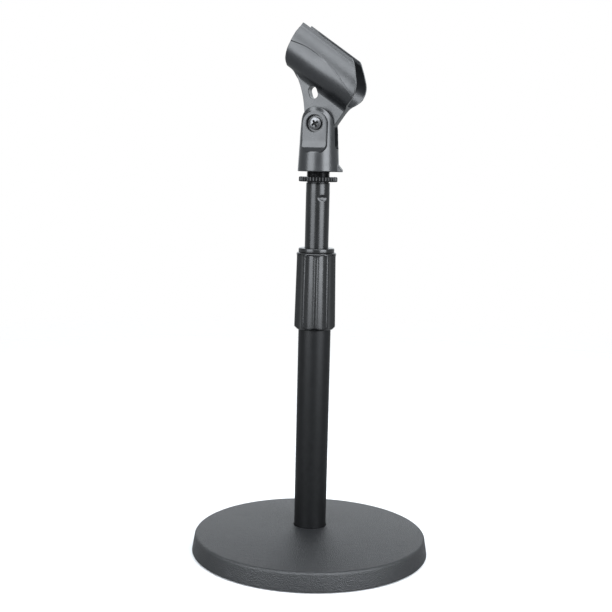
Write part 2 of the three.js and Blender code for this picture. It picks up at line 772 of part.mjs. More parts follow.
// half of the inner outline, matched point for point to the outer one
function innerHalf(u) {
  const scale = taper(u);
  const wide = HULL_HALF * scale - HULL_WALL;
  const lip = LIP_HALF * scale - HULL_WALL;
  const bandV = LIP_V - LIP_BAND;
  const depth = HULL_OUTER_R - HULL_WALL;
  const points = [[lip, LIP_V], [lip, bandV]];
  for (const t of [0.06, 0.3, 0.62, 0.9]) {
    points.push([lerp(lip, wide, Math.sin(t * Math.PI / 2)), lerp(bandV, HULL_AXIS_V, t)]);
  }
  for (const deg of [0, -12, -24, -36, -48, -60, -70, -80, -90]) {
    points.push([wide * Math.cos(rad(deg)), HULL_AXIS_V + depth * Math.sin(rad(deg))]);
  }
  return points;
}

// the whole outline from a half that runs from the lip to the middle
function bothSides(half) {
  const sides = half.slice(0, -1);
  return [...sides.map(([across, v]) => [-across, v]), half[half.length - 1], ...sides.reverse()];
}

function hullSection(u) {
  return [...bothSides(outerHalf(u)), ...bothSides(innerHalf(u)).reverse()];
}

// the channel as a skin over sections along u, closed by a strip of faces at each end
function hullLoft() {
  const stations = [-50, -44, -40, -36, -31, -27, -20, -14, -8, -2, 4, 9, 15];
  const sections = stations.map(hullSection);
  const n = sections[0].length;
  const positions = stations.flatMap((u, k) => sections[k].flatMap(([across, v]) => [u, v, -across]));
  const corners = [];
  for (let k = 0; k + 1 < stations.length; k += 1) {
    for (let i = 0; i < n; i += 1) {
      const here = k * n + i;
      const beside = k * n + (i + 1) % n;
      corners.push(here, beside, beside + n, here, beside + n, here + n);
    }
  }
  const last = (stations.length - 1) * n;
  for (let i = 0; i + 1 < n / 2; i += 1) {
    const [a, b, c, d] = [i, i + 1, n - 2 - i, n - 1 - i];
    corners.push(a, c, b, a, d, c);
    corners.push(last + a, last + b, last + c, last + a, last + c, last + d);
  }
  const geometry = new THREE.BufferGeometry();
  geometry.setAttribute('position', new THREE.Float32BufferAttribute(positions, 3));
  geometry.setIndex(corners);
  return geometry;
}

// side view of the channel: tail edge, keel and the raked mouth
function sideOutline() {
  return [
    [HOLDER_TAIL_U, LIP_V + 1], [HOLDER_TAIL_U, 40.2], [-44.5, 34.8], [-43.9, 29.6], [-43.0, 25.2],
    [-42.0, 21.8], [-40.6, 19.2], [-40.3, 10], [10, 10], [10.2, 21], [11.3, 25.0],
    [HOLDER_MOUTH_U, 28.4], [10.5, 33.2], [8.3, 37.1], [4.6, 40.9], [1.2, 44.1],
    [-2.3, 47.0], [-4.1, LIP_V], [-4.4, LIP_V + 1],
  ];
}

function webOutline() {
  const tongue = arc(0, 0, TONGUE_R, 0, -140, 16);
  return [[10, 20.5], ...tongue, [-12.3, 1.0], [-14.5, 3.6], [-18.6, 8.0], [-23.3, 12.1],
    [-28.1, 15.5], [-32.0, 17.9], [-36.0, 19.2], [-35.0, 19.6]];
}

function windowTool() {
  const shift = WINDOW_HALF_LENGTH - WINDOW_HALF_WIDTH;
  const outline = [
    ...arc(shift, 0, WINDOW_HALF_WIDTH, -90, 90, 8),
    ...arc(-shift, 0, WINDOW_HALF_WIDTH, 90, 270, 8),
  ];
  const slot = extrudeZ(outline, -THROUGH, THROUGH);
  return slot.rotateZ(rad(WINDOW_TURN_DEG)).translate(WINDOW_U, WINDOW_V, 0);
}

function clipHolder() {
  const seat = WASHER_IN_REACH - PIVOT_GAP;
  const seatR = WASHER_R + PIVOT_GAP;
  const side = extrudeZ(sideOutline(), -2 * THROUGH, 2 * THROUGH);
  const channel = toSolid(hullLoft()).intersect(toSolid(side));
  return toGeometry(cut(
    channel.add(toSolid(extrudeZ(webOutline(), -WEB_HALF, WEB_HALF))),
    windowTool(),
    disc(PIVOT_HOLE_R, -THROUGH, THROUGH, SEG_SMALL),
    disc(seatR, seat, THROUGH, SEG_SMALL),
    disc(seatR, -THROUGH, -seat, SEG_SMALL),
  ));
}

// ---------- materials ----------

function paint(hex, roughness, metalness) {
  return new THREE.MeshStandardMaterial({ color: hex, roughness, metalness });
}

const crinkle = () => paint(0x26272a, 0.72, 0.1);
const tubePaint = () => paint(0x1d1e20, 0.42, 0.2);
const glossPaint = () => paint(0x1a1b1d, 0.25, 0.25);
const rubber = () => paint(0x151516, 0.85, 0);
const steel = () => paint(0x9da0a3, 0.35, 0.9);
const nylon = () => paint(0x2b2c2e, 0.55, 0);
const blackPlastic = () => paint(0x2a2b2d, 0.5, 0);
const clipPlastic = () => paint(0x3a3c40, 0.5, 0);
const brass = () => paint(0xb08d4a, 0.35, 0.9);

// ---------- assembly ----------

const base = new THREE.Group();
base.add(piece('base_casting', baseCasting(), crinkle()));
footCentres().forEach(([x, y], i) => {
  const foot = piece(`base_foot_${i + 1}`, baseFoot(), rubber());
  foot.position.set(x, y, 0);
  base.add(foot);
});
base.add(piece('base_bolt', baseBolt(), steel()));
base.add(piece('base_spring_washer', baseSpringWasher(), steel()));
base.add(piece('base_flat_washer', baseFlatWasher(), steel()));
base.add(piece('lower_tube', lowerTube(), tubePaint()));
base.add(piece('tube_foot_plug', tubeFootPlug(), steel()));
base.add(piece('clutch_ferrule', clutchFerrule(), nylon()));

const clutch = new THREE.Group();
clutch.add(piece('clutch_collet', clutchCollet(), nylon()));
clutch.add(piece('clutch_grip', clutchGrip(), blackPlastic()));
clutch.add(piece('clutch_collar', clutchCollar(), blackPlastic()));
clutch.add(piece('wiper_ring', wiperRing(), rubber()));

const mast = new THREE.Group();
mast.add(piece('upper_tube', upperTube(), glossPaint()));
mast.add(piece('guide_bush', guideBush(), nylon()));
mast.add(piece('thread_stud', threadStud(), steel()));
mast.add(piece('lock_ring', lockRing(), glossPaint()));

const holder = piece('clip_holder', clipHolder(), clipPlastic());
holder.rotation.z = -rad(HOLDER_TILT_DEG);

// the pivot's own z axis points to the front
const pivot = new THREE.Group();
pivot.position.z = PIVOT_RISE;
pivot.rotation.x = Math.PI / 2;
pivot.add(piece('friction_washer_front', frictionWasher(1), nylon()));
pivot.add(piece('friction_washer_rear', frictionWasher(-1), nylon()));
pivot.add(piece('pivot_screw', pivotScrew(), steel()));
pivot.add(piece('pivot_nut', pivotNut(), steel()));
pivot.add(holder);

const clip = new THREE.Group();
clip.position.z = CLIP_Z0;
clip.add(piece('clip_base', clipBase(), clipPlastic()));
clip.add(piece('clip_thread_insert', clipThreadInsert(), brass()));
clip.add(pivot);

const stand = new THREE.Group();
stand.name = 'desktop_mic_stand';
stand.add(base, clutch, mast, clip);

export default stand;
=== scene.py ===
import cmath
import math

import bmesh
import bpy
import numpy as np
from mathutils import Matrix, Vector

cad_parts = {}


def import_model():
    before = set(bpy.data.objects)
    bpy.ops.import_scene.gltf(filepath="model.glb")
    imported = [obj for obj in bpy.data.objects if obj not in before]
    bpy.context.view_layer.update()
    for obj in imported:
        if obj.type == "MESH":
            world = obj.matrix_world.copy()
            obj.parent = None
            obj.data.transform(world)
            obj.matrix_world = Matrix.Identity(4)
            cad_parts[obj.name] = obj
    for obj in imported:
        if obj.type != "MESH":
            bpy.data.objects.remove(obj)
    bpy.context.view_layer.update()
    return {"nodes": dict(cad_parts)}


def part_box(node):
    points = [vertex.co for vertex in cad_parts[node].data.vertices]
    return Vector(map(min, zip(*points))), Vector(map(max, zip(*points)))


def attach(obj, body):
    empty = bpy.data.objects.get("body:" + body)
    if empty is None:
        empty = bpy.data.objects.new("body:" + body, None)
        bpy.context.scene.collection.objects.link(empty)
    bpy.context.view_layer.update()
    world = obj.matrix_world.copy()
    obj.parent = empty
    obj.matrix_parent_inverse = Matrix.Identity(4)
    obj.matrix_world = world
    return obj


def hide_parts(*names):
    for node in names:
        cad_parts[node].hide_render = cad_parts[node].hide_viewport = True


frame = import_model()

scene = bpy.context.scene

# ---------- sizes read from the frame, in millimetres ----------

MM = 0.001


def round_size(node):
    """outer radius, lowest z and highest z of a round CAD node that stands on the Z axis"""
    points = np.array([v.co for v in frame["nodes"][node].data.vertices]) / MM
    reach = np.hypot(points[:, 0], points[:, 1])
    heights = points[:, 2]
    return float(reach.max()), float(heights.min()), float(heights.max())


BASE_R, BASE_Z0, BASE_Z1 = round_size("base_casting")
LOWER_R, LOWER_Z0, LOWER_Z1 = round_size("lower_tube")
PLUG_R, PLUG_Z0, PLUG_Z1 = round_size("tube_foot_plug")
FERRULE_R, FERRULE_Z0, FERRULE_Z1 = round_size("clutch_ferrule")
COLLET_R, COLLET_Z0, COLLET_Z1 = round_size("clutch_collet")
GRIP_R, GRIP_Z0, GRIP_Z1 = round_size("clutch_grip")
COLLAR_R, COLLAR_Z0, COLLAR_Z1 = round_size("clutch_collar")
WIPER_R, WIPER_Z0, WIPER_Z1 = round_size("wiper_ring")
UPPER_R, UPPER_Z0, UPPER_Z1 = round_size("upper_tube")
BUSH_R, BUSH_Z0, BUSH_Z1 = round_size("guide_bush")
STUD_R, STUD_Z0, STUD_Z1 = round_size("thread_stud")
RING_R, RING_Z0, RING_Z1 = round_size("lock_ring")
INSERT_R, INSERT_Z0, INSERT_Z1 = round_size("clip_thread_insert")
_, BOLT_Z0, BOLT_Z1 = round_size("base_bolt")
SPRING_R, SPRING_Z0, SPRING_Z1 = round_size("base_spring_washer")
WASHER_R, WASHER_Z0, WASHER_Z1 = round_size("base_flat_washer")
CLIP_LOW, CLIP_HIGH = (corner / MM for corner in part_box("clip_base"))
SCREW_LOW, SCREW_HIGH = (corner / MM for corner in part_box("pivot_screw"))
NUT_LOW, NUT_HIGH = (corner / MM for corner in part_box("pivot_nut"))
FRONT_LOW, FRONT_HIGH = (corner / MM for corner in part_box("friction_washer_front"))
CLIP_Z0 = CLIP_LOW.z
PIVOT_Z = (FRONT_LOW.z + FRONT_HIGH.z) / 2

# ---------- sizes of the fine shape, in millimetres ----------

BASE_R_TOP = 80.0
BASE_Z_RIM = 13.6
BASE_EDGE_ROUND = 2.2
BASE_SEAT_R = 13.5
TUBE_SEAT_Z = 17.7
RECESS_R_OUT = 64.0
RECESS_R_IN = 20.0
RECESS_Z_TOP = 5.5
BOLT_WELL_R = 12.0
BOLT_WELL_Z = 11.5
BOLT_SHANK_R = 4.0
BOLT_FLATS = 13.0
BOLT_HEAD_HEIGHT = 5.2
FOOT_POCKET_GAP = 0.3
BOLT_THREAD_DEPTH = 0.6
BOLT_THREAD_PITCH = 1.25
HEX_CHAMFER_SLOPE = 1.73
HEX_CHAMFER_SPAN = 0.9
SPLIT_HALF = 0.45
SPLIT_TURN_DEG = 22

LOWER_WALL = 1.5
UPPER_WALL = 1.2
PRESS_GAP = 0.15
TUBE_BORE_R = UPPER_R + 0.15
COLLET_SLIT_HALF = 0.8

GRIP_R_TOP = 13.5
GRIP_CHAMFER = 2.2
GRIP_CHAMFER_SLOPE = 1.05
GRIP_SHOULDER = 1.3
FLUTES = 10
FLUTE_DEPTH = 1.2
FLUTE_HALF_DEG = 14.8
FLUTE_ARCH = 1.9
FLUTE_TOP_MARGIN = 0.75
FLUTE_TOP_SLOPE = 0.9
FLUTE_EDGE_SOFTNESS = 0.006
LAND_AZIMUTH_DEG = -74.5
NUT_BORE_R = 11.3
CONE_TOP_R = 9.3
CONE_Z0 = 202.4
CONE_Z1 = 207.6
COUNTERBORE_R = 10.65
COLLAR_BORE_R = 8.45

DIMPLE_Z = 245.8
DIMPLE_AZIMUTH_DEG = -49.5
DIMPLE_WIDTH = 8.4
DIMPLE_HEIGHT = 5.0
DIMPLE_DEPTH = 0.85

THREAD_PITCH = 25.4 / 27
THREAD_DEPTH = 0.55
RING_TEETH = 36
RING_TOOTH_DEPTH = 1.1
STEPS_PER_TOOTH = 14

CLIP_FOOT_R = 13.95
EAR_HALF_X = 13.3
EAR_RISE = 18
EAR_TOP_R = 11.0
FIN_ROOT_X = 11.9
FIN_TOP_X = 13.55
FIN_RISE = 5
FIN_TIP_RISE = 1.6
FIN_HALF_Y = 2.3
PAD_Y = 12.4
PAD_HALF_X = 8.2
PAD_RISE = 12.7
PAD_RIDGE_Y = 14.0
RIDGE_RISE = 16.2
PAD_CORNER = 5.0
SLOT_HALF = 4.55
SLOT_RISE = 15.0
SLOT_CORNER = 3.0
PIVOT_HOLE_R = 2.75
HEAD_RECESS_R = 5.7
HEAD_RECESS_Y = 9.2
NUT_FLATS = 8.0
NUT_POCKET_Y = 8.4
SCREW_R = 2.5
SCREW_HEAD_R = 4.15
SCREW_THREAD_DEPTH = 0.4
SCREW_THREAD_PITCH = 0.8
CROWN_DROP = 0.9
CROWN_POWER = 2.4
CROSS_TURN_DEG = -28.0

HOLDER_TILT_DEG = 34.8
WEB_HALF = 4.25
TONGUE_R = 10.0
LIP_V = 48.0
LIP_BAND = 2.3
LIP_HALF = 12.0
HULL_HALF = 15.9
HULL_TAIL_SCALE = 0.91
HULL_TAPER_START_U = 5
HULL_TAPER_LENGTH = 54
HULL_AXIS_V = 33.8
HULL_OUTER_R = 15.6
HULL_WALL = 2.0
HULL_START_U = -50
HULL_END_U = 15
FLANK_RISE = 18.1
CREASE_STEP_TAIL = 0.45
CREASE_STEP_MOUTH = -0.4
KEEL_FILLET = 4.5
KEEL_FACE = WEB_HALF - 0.05
CRADLE_VOXEL = 0.18
CLIP_VOXEL = 0.22
WINDOW_CENTRE = (-14.8, 14.8)
WINDOW_HALF_WIDTH = 2.8
WINDOW_HALF_LENGTH = 4.2
WINDOW_TURN_DEG = -39.0


# ---------- outlines ----------

def arc(cx, cy, r, start, end, steps=16):
    """points on a circle between two angles in degrees"""
    angles = np.radians(np.linspace(start, end, steps + 1))
    return [(cx + r * math.cos(a), cy + r * math.sin(a)) for a in angles]


def filleted(corners, steps=5):
    """closed outline with rounded corners; a corner is (x, y) or (x, y, radius)"""
    points = []
    for i, corner in enumerate(corners):
        here = complex(corner[0], corner[1])
        radius = corner[2] if len(corner) > 2 else 0
        if radius == 0:
            points.append(here)
            continue
        before = complex(*corners[i - 1][:2]) - here
        after = complex(*corners[(i + 1) % len(corners)][:2]) - here
        half = abs(cmath.phase(after / before)) / 2
        reach = min(radius / math.tan(half), 0.49 * abs(before), 0.49 * abs(after))
        start = here + before / abs(before) * reach
        end = here + after / abs(after) * reach
        bisector = before / abs(before) + after / abs(after)
        centre = here + bisector / abs(bisector) * math.hypot(reach, reach * math.tan(half))
        sweep = cmath.phase((end - centre) / (start - centre))
        for k in range(steps + 1):
            points.append(centre + (start - centre) * cmath.exp(1j * sweep * k / steps))
    return [(p.real, p.imag) for p in points]


def spline(points, steps=6):
    """smooth curve through the points"""
    p = np.array(points, float)
    padded = np.vstack([2 * p[0] - p[1], p, 2 * p[-1] - p[-2]])
    curve = []
    for i in range(len(p) - 1):
        a, b, c, d = padded[i:i + 4]
        for t in np.linspace(0, 1, steps, endpoint=False):
            curve.append(0.5 * (2 * b + (c - a) * t + (2 * a - 5 * b + 4 * c - d) * t * t
                                + (3 * b - a - 3 * c + d) * t ** 3))
    curve.append(p[-1])
    return [tuple(point) for point in curve]


def smooth_step(t):
    t = np.clip(t, 0, 1)
    return t * t * (3 - 2 * t)


def soft_min(a, b, width):
    """the smaller of two values, rounded over where they cross"""
    return (a + b - np.sqrt((a - b) ** 2 + width * width)) / 2


# ---------- meshes, in millimetres until place() ----------

def new_object(name, vertices, faces):
    data = bpy.data.meshes.new(name)
    data.from_pydata([tuple(v) for v in vertices], [], faces)
    obj = bpy.data.objects.new(name, data)
    scene.collection.objects.link(obj)
    return obj


def clean(obj):
    """merges repeated vertices, removes loose edges and points every face outwards"""
    bm = bmesh.new()
    bm.from_mesh(obj.data)
    bmesh.ops.remove_doubles(bm, verts=bm.verts, dist=1e-5)
    loose = [edge for edge in bm.edges if not edge.link_faces]
    bmesh.ops.delete(bm, geom=loose, context="EDGES")
    bmesh.ops.recalc_face_normals(bm, faces=bm.faces)
    bm.to_mesh(obj.data)
    bm.free()
    return obj


def looped(name, rings):
    """closed skin over rings of equal length; the last ring joins the first"""
    count = len(rings[0])
    vertices = [point for ring in rings for point in ring]
    faces = []
    for k in range(len(rings)):
        this = k * count
        following = (k + 1) % len(rings) * count
        for i in range(count):
            j = (i + 1) % count
            faces.append((this + i, this + j, following + j, following + i))
    return clean(new_object(name, vertices, faces))


def ring_of(radii, z, angles):
    return np.stack([radii * np.cos(angles), radii * np.sin(angles), np.full_like(angles, z)], axis=1)


def circles(angles):
    """maker of plain rings, one for a radius and a height"""
    return lambda r, z: ring_of(np.full_like(angles, r), z, angles)


def turned(name, profile, segments=144):
    """solid of revolution about Z from a closed (radius, z) outline"""
    circle = circles(np.linspace(0, 2 * math.pi, segments, endpoint=False))
    return looped(name, [circle(r, z) for r, z in profile])


def prism(name, outline, low, high, axis="y"):
    """outline (x, z) pushed along Y, (y, z) along X, or (x, y) along Z"""
    order = {
        "x": lambda a, b, c: (c, a, b),
        "y": lambda a, b, c: (a, c, b),
        "z": lambda a, b, c: (a, b, c),
    }[axis]
    count = len(outline)
    vertices = [order(a, b, c) for c in (low, high) for a, b in outline]
    sides = [(i, (i + 1) % count, (i + 1) % count + count, i + count) for i in range(count)]
    return clean(new_object(name, vertices, sides + [tuple(range(count)), tuple(range(count, 2 * count))]))


def evaluated(obj):
    """bakes the modifiers into the mesh"""
    bpy.context.view_layer.update()
    result = bpy.data.meshes.new_from_object(obj.evaluated_get(bpy.context.evaluated_depsgraph_get()))
    obj.modifiers.clear()
    obj.data = result
    return obj


def combine(target, tool, operation):
    modifier = target.modifiers.new("combine", "BOOLEAN")
    modifier.operation = operation
    modifier.solver = "MANIFOLD"
    modifier.object = tool
    evaluated(target)
    bpy.data.objects.remove(tool)
    return target


def cut(target, *tools):
    for tool in tools:
        combine(target, tool, "DIFFERENCE")
    return target


def soften(obj, voxel, passes):
    """remeshes to fine even faces and rounds the edges, as a mould does"""
    remesh = obj.modifiers.new("remesh", "REMESH")
    remesh.mode = "VOXEL"
    remesh.voxel_size = voxel
    smooth = obj.modifiers.new("smooth", "SMOOTH")
    smooth.factor = 0.5
    smooth.iterations = passes
    return evaluated(obj)


def place(obj, material, body, nodes, sharp_deg=38):
    """scales to metres and hands the piece to its CAD body"""
    obj.data.transform(Matrix.Scale(MM, 4))
    obj.data.polygons.foreach_set("use_smooth", [True] * len(obj.data.polygons))
    obj.data.set_sharp_from_angle(angle=math.radians(sharp_deg))
    obj.data.materials.clear()
    obj.data.materials.append(material)
    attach(obj, body)
    if nodes:
        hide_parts(*nodes)
    return obj


# ---------- materials ----------

class Finish:
    """a Principled material that is built up from small procedural layers"""

    def __init__(self, name, colour, roughness, metallic=0.0, specular=0.5):
        self.material = bpy.data.materials.new(name)
        self.material.use_nodes = True
        self.nodes = self.material.node_tree.nodes
        self.links = self.material.node_tree.links
        self.shader = self.nodes["Principled BSDF"]
        self.shader.inputs["Base Color"].default_value = (*colour, 1)
        self.shader.inputs["Roughness"].default_value = roughness
        self.shader.inputs["Metallic"].default_value = metallic
        self.shader.inputs["Specular IOR Level"].default_value = specular
        self.coordinates = self.nodes.new("ShaderNodeTexCoord").outputs["Object"]
        self.height = None

    def node(self, kind, **values):
        made = self.nodes.new(kind)
        for key, value in values.items():
            made.inputs[key.replace("_", " ")].default_value = value
        return made

    def noise(self, size_mm, detail=3.0):
        """noise whose features are about size_mm across"""
        made = self.node("ShaderNodeTexNoise", Scale=1 / (size_mm * MM), Detail=detail, Roughness=0.55)
        self.links.new(self.coordinates, made.inputs["Vector"])
        return made.outputs["Fac"]

    def cells(self, size_mm, smoothness=0.6):
        made = self.node("ShaderNodeTexVoronoi", Scale=1 / (size_mm * MM))
        made.feature = "SMOOTH_F1"
        made.inputs["Smoothness"].default_value = smoothness
        self.links.new(self.coordinates, made.inputs["Vector"])
        return made.outputs["Distance"]

    def spread(self, source, low, high, from_low=0.3, from_high=0.7):
        """a source remapped to a range of values"""
        made = self.node("ShaderNodeMapRange")
        made.inputs["From Min"].default_value = from_low
        made.inputs["From Max"].default_value = from_high
        made.inputs["To Min"].default_value = low
        made.inputs["To Max"].default_value = high
        self.links.new(source, made.inputs["Value"])
        return made.outputs["Result"]

    def mottle(self, source, dark, light, from_low=0.3, from_high=0.7):
        """base colour that runs between two colours"""
        ramp = self.nodes.new("ShaderNodeValToRGB")
        ramp.color_ramp.elements[0].position = from_low
        ramp.color_ramp.elements[0].color = (*dark, 1)
        ramp.color_ramp.elements[1].position = from_high
        ramp.color_ramp.elements[1].color = (*light, 1)
        self.links.new(source, ramp.inputs["Fac"])
        self.links.new(ramp.outputs["Color"], self.shader.inputs["Base Color"])

    def vary_roughness(self, source, low, high):
        self.links.new(self.spread(source, low, high), self.shader.inputs["Roughness"])

    def bump(self, source, depth_mm, strength=1.0):
        made = self.node("ShaderNodeBump", Strength=strength, Distance=depth_mm * MM)
        self.links.new(source, made.inputs["Height"])
        if self.height is not None:
            self.links.new(self.height, made.inputs["Normal"])
        self.height = made.outputs["Normal"]
        self.links.new(self.height, self.shader.inputs["Normal"])


def grey(value, tint=0.0):
    """a grey, a little bluer for a positive tint"""
    return (value * (1 - tint), value, value * (1 + 1.5 * tint))


def crinkle_coat():
    finish = Finish("crinkle_coat", grey(0.02), 0.45, specular=0.6)
    grain = finish.cells(0.62)
    fine = finish.noise(0.35, detail=4)
    finish.mottle(fine, grey(0.007, 0.04), grey(0.016, 0.05))
    finish.vary_roughness(finish.noise(1.3), 0.34, 0.46)
    finish.bump(grain, 0.3, 1.0)
    finish.bump(fine, 0.12, 0.8)
    return finish.material


def tube_coat():
    finish = Finish("tube_coat", grey(0.004), 0.4, specular=0.22)
    finish.mottle(finish.noise(3.0), grey(0.003, 0.05), grey(0.005, 0.05))
    finish.vary_roughness(finish.noise(9.0), 0.38, 0.44)
    finish.bump(finish.noise(2.0, detail=2), 0.002, 0.3)
    return finish.material


def gloss_coat():
    finish = Finish("gloss_coat", grey(0.012), 0.14)
    finish.mottle(finish.noise(5.0), grey(0.0025, 0.05), grey(0.004, 0.05))
    finish.vary_roughness(finish.noise(7.0), 0.23, 0.29)
    finish.bump(finish.noise(6.0, detail=2), 0.003, 0.3)
    return finish.material


def ring_coat():
    finish = Finish("ring_coat", grey(0.003), 0.12, specular=0.35)
    finish.mottle(finish.noise(3.0), grey(0.002, 0.05), grey(0.003, 0.05))
    finish.vary_roughness(finish.noise(4.0), 0.1, 0.16)
    return finish.material


def grip_plastic():
    finish = Finish("grip_plastic", grey(0.018), 0.26, specular=0.55)
    finish.mottle(finish.noise(4.0), grey(0.004, 0.03), grey(0.007, 0.03))
    finish.vary_roughness(finish.noise(5.0), 0.2, 0.25)
    finish.bump(finish.noise(4.0, detail=2), 0.002, 0.3)
    return finish.material


def clip_plastic():
    finish = Finish("clip_plastic", grey(0.034), 0.3, specular=0.7)
    finish.mottle(finish.noise(5.0), grey(0.009, 0.06), grey(0.013, 0.06))
    finish.vary_roughness(finish.noise(6.0), 0.27, 0.34)
    finish.bump(finish.noise(0.3), 0.01, 0.5)
    return finish.material


def rubber(name, value):
    finish = Finish(name, grey(value), 0.8)
    finish.mottle(finish.noise(1.5), grey(value * 0.8), grey(value * 1.25))
    finish.bump(finish.noise(0.25), 0.03, 0.7)
    return finish.material


def metal(name, dark, light, low, high, metallic=1.0):
    finish = Finish(name, dark, low, metallic)
    finish.mottle(finish.noise(1.2), dark, light)
    finish.vary_roughness(finish.noise(0.8), low, high)
    finish.bump(finish.noise(0.15), 0.006, 0.5)
    return finish.material


def nylon():
    finish = Finish("nylon", (0.03, 0.03, 0.032), 0.45)
    finish.mottle(finish.noise(2.0), grey(0.024), grey(0.038))
    finish.bump(finish.noise(0.4), 0.02, 0.5)
    return finish.material


CRINKLE = crinkle_coat()
TUBE_COAT = tube_coat()
GLOSS = gloss_coat()
RING_COAT = ring_coat()
GRIP_PLASTIC = grip_plastic()
CLIP_PLASTIC = clip_plastic()
FOOT_RUBBER = rubber("foot_rubber", 0.02)
SEAL_RUBBER = rubber("seal_rubber", 0.012)
SCREW_STEEL = metal("screw_steel", (0.12, 0.12, 0.123), (0.17, 0.17, 0.173), 0.26, 0.36)
HARDWARE_STEEL = metal("hardware_steel", (0.42, 0.42, 0.41), (0.56, 0.56, 0.54), 0.3, 0.45)
STUD_STEEL = metal("stud_steel", (0.05, 0.05, 0.052), (0.09, 0.09, 0.092), 0.28, 0.4)
BRASS = metal("insert_brass", (0.55, 0.38, 0.14), (0.68, 0.49, 0.2), 0.25, 0.38)
NYLON = nylon()
# near-black finish for the faces inside the screw's cross recess: painted shade standing in for the shadow in
# the recess
RECESS_PAINTED_SHADE = rubber("recess_painted_shade", 0.004)


# ---------- base ----------

def base_profile():
    rim_r = BASE_R_TOP - BASE_EDGE_ROUND
    dome = []
    for t in np.linspace(0, 1, 40)[1:]:
        r = rim_r + (BASE_SEAT_R - rim_r) * t
        dome.append((r, BASE_Z_RIM + (BASE_Z1 - BASE_Z_RIM) * math.sin(t * math.pi / 2)))
    side_top = arc(rim_r, BASE_Z_RIM - BASE_EDGE_ROUND, BASE_EDGE_ROUND, 0, 86, 10)
    outside = filleted([
        (BASE_R - 2, BASE_Z0), (BASE_R, BASE_Z0, 0.6), side_top[0],
    ], 4)
    inside = filleted([
        (LOWER_R + 0.3, BASE_Z1, 0.3),
        (LOWER_R + 0.3, TUBE_SEAT_Z),
        (BOLT_SHANK_R + 0.4, TUBE_SEAT_Z, 0.2),
        (BOLT_SHANK_R + 0.4, BOLT_WELL_Z, 0.2),
        (BOLT_WELL_R, BOLT_WELL_Z, 0.8),
        (BOLT_WELL_R, BASE_Z0, 0.6),
        (RECESS_R_IN, BASE_Z0, 0.6),
        (RECESS_R_IN + 1, RECESS_Z_TOP, 1.6),
        (RECESS_R_OUT - 1, RECESS_Z_TOP, 1.6),
        (RECESS_R_OUT, BASE_Z0, 0.6),
        (BASE_R - 3, BASE_Z0),
    ], 5)
    return outside + side_top[1:] + dome + inside


def foot_centres():
    for name in sorted(n for n in frame["nodes"] if n.startswith("base_foot_")):
        low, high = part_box(name)
        yield name, (low + high) / 2 / MM, (high.x - low.x) / 2 / MM, high.z / MM


def base_casting():
    casting = turned("base_shell", base_profile(), 288)
    for _, centre, radius, height in foot_centres():
        pocket_r = radius + FOOT_POCKET_GAP
        pocket = turned("pocket", [(0, -1), (pocket_r, -1), (pocket_r, height + FOOT_POCKET_GAP),
                                   (0, height + FOOT_POCKET_GAP)], 48)
        pocket.data.transform(Matrix.Translation((centre.x, centre.y, 0)))
        cut(casting, pocket)
    place(casting, CRINKLE, "base", ["base_casting"], 30)


def base_feet():
    for name, centre, radius, height in foot_centres():
        outline = filleted([(0, 0.5), (radius * 0.55, 0.35, 1.0), (radius * 0.72, 0, 0.4), (radius, 0, 0.6),
                            (radius, height, 0.15), (0, height)])
        foot = turned(name.replace("base_", "rubber_"), outline, 64)
        foot.data.transform(Matrix.Translation((centre.x, centre.y, 0)))
        place(foot, FOOT_RUBBER, "base", [name])


def threaded_rows(radius, depth, pitch, low, high, angles, per_turn=10):
    """rings of a helical thread, faded out at both ends"""
    rows = []
    for z in np.arange(low, high, pitch / per_turn):
        phase = (z / pitch - angles / (2 * math.pi)) % 1
        flank = np.clip(np.abs(2 * phase - 1) * 1.3 - 0.15, 0, 1)
        fade = min(1.0, (high - z) / pitch, max(0.0, (z - low) / pitch))
        rows.append(ring_of(radius - depth * (1 - (1 - flank) * fade), z, angles))
    return rows


def hex_radius(angles, flats, round_off=0.12):
    """radius of a hexagon with slightly rounded corners"""
    folded = (angles + math.pi / 6) % (math.pi / 3) - math.pi / 6
    return soft_min(flats / 2 / np.cos(folded), flats / math.sqrt(3) - round_off / 2, round_off)


def hex_rows(angles, flats, low, high, chamfer_low, chamfer_high):
    """rings of a hexagon whose ends are turned down to a 30 degree chamfer"""
    corner = flats / math.sqrt(3)
    face = flats / 2 * 0.96
    rows = []
    foot = np.linspace(low, low + HEX_CHAMFER_SPAN, 9)
    head = np.linspace(high - HEX_CHAMFER_SPAN, high, 9)
    for z in np.concatenate([foot, head]):
        limit = corner + 1
        if chamfer_low:
            limit = min(limit, face + (z - low) * HEX_CHAMFER_SLOPE)
        if chamfer_high:
            limit = min(limit, face + (high - z) * HEX_CHAMFER_SLOPE)
        rows.append(ring_of(np.minimum(hex_radius(angles, flats), limit), z, angles))
    return rows


def base_bolt():
    angles = np.linspace(0, 2 * math.pi, 144, endpoint=False)
    head_top = BOLT_Z0 + BOLT_HEAD_HEIGHT
    tip = BOLT_SHANK_R - 0.8
    circle = circles(angles)
    dish = BOLT_Z0 + 0.35
    rows = [circle(0, dish), circle(BOLT_FLATS * 0.34, dish), circle(BOLT_FLATS * 0.38, BOLT_Z0)]
    rows += hex_rows(angles, BOLT_FLATS, BOLT_Z0, head_top, True, False)
    rows += [circle(BOLT_SHANK_R + 0.3, head_top), circle(BOLT_SHANK_R, head_top + 0.3)]
    rows += threaded_rows(
        BOLT_SHANK_R, BOLT_THREAD_DEPTH, BOLT_THREAD_PITCH, head_top + 2, BOLT_Z1 - 0.8, angles)
    rows += [circle(tip, BOLT_Z1 - 0.1), circle(tip - 0.3, BOLT_Z1), circle(0, BOLT_Z1)]
    place(looped("base_hex_bolt", rows), HARDWARE_STEEL, "base", ["base_bolt"])


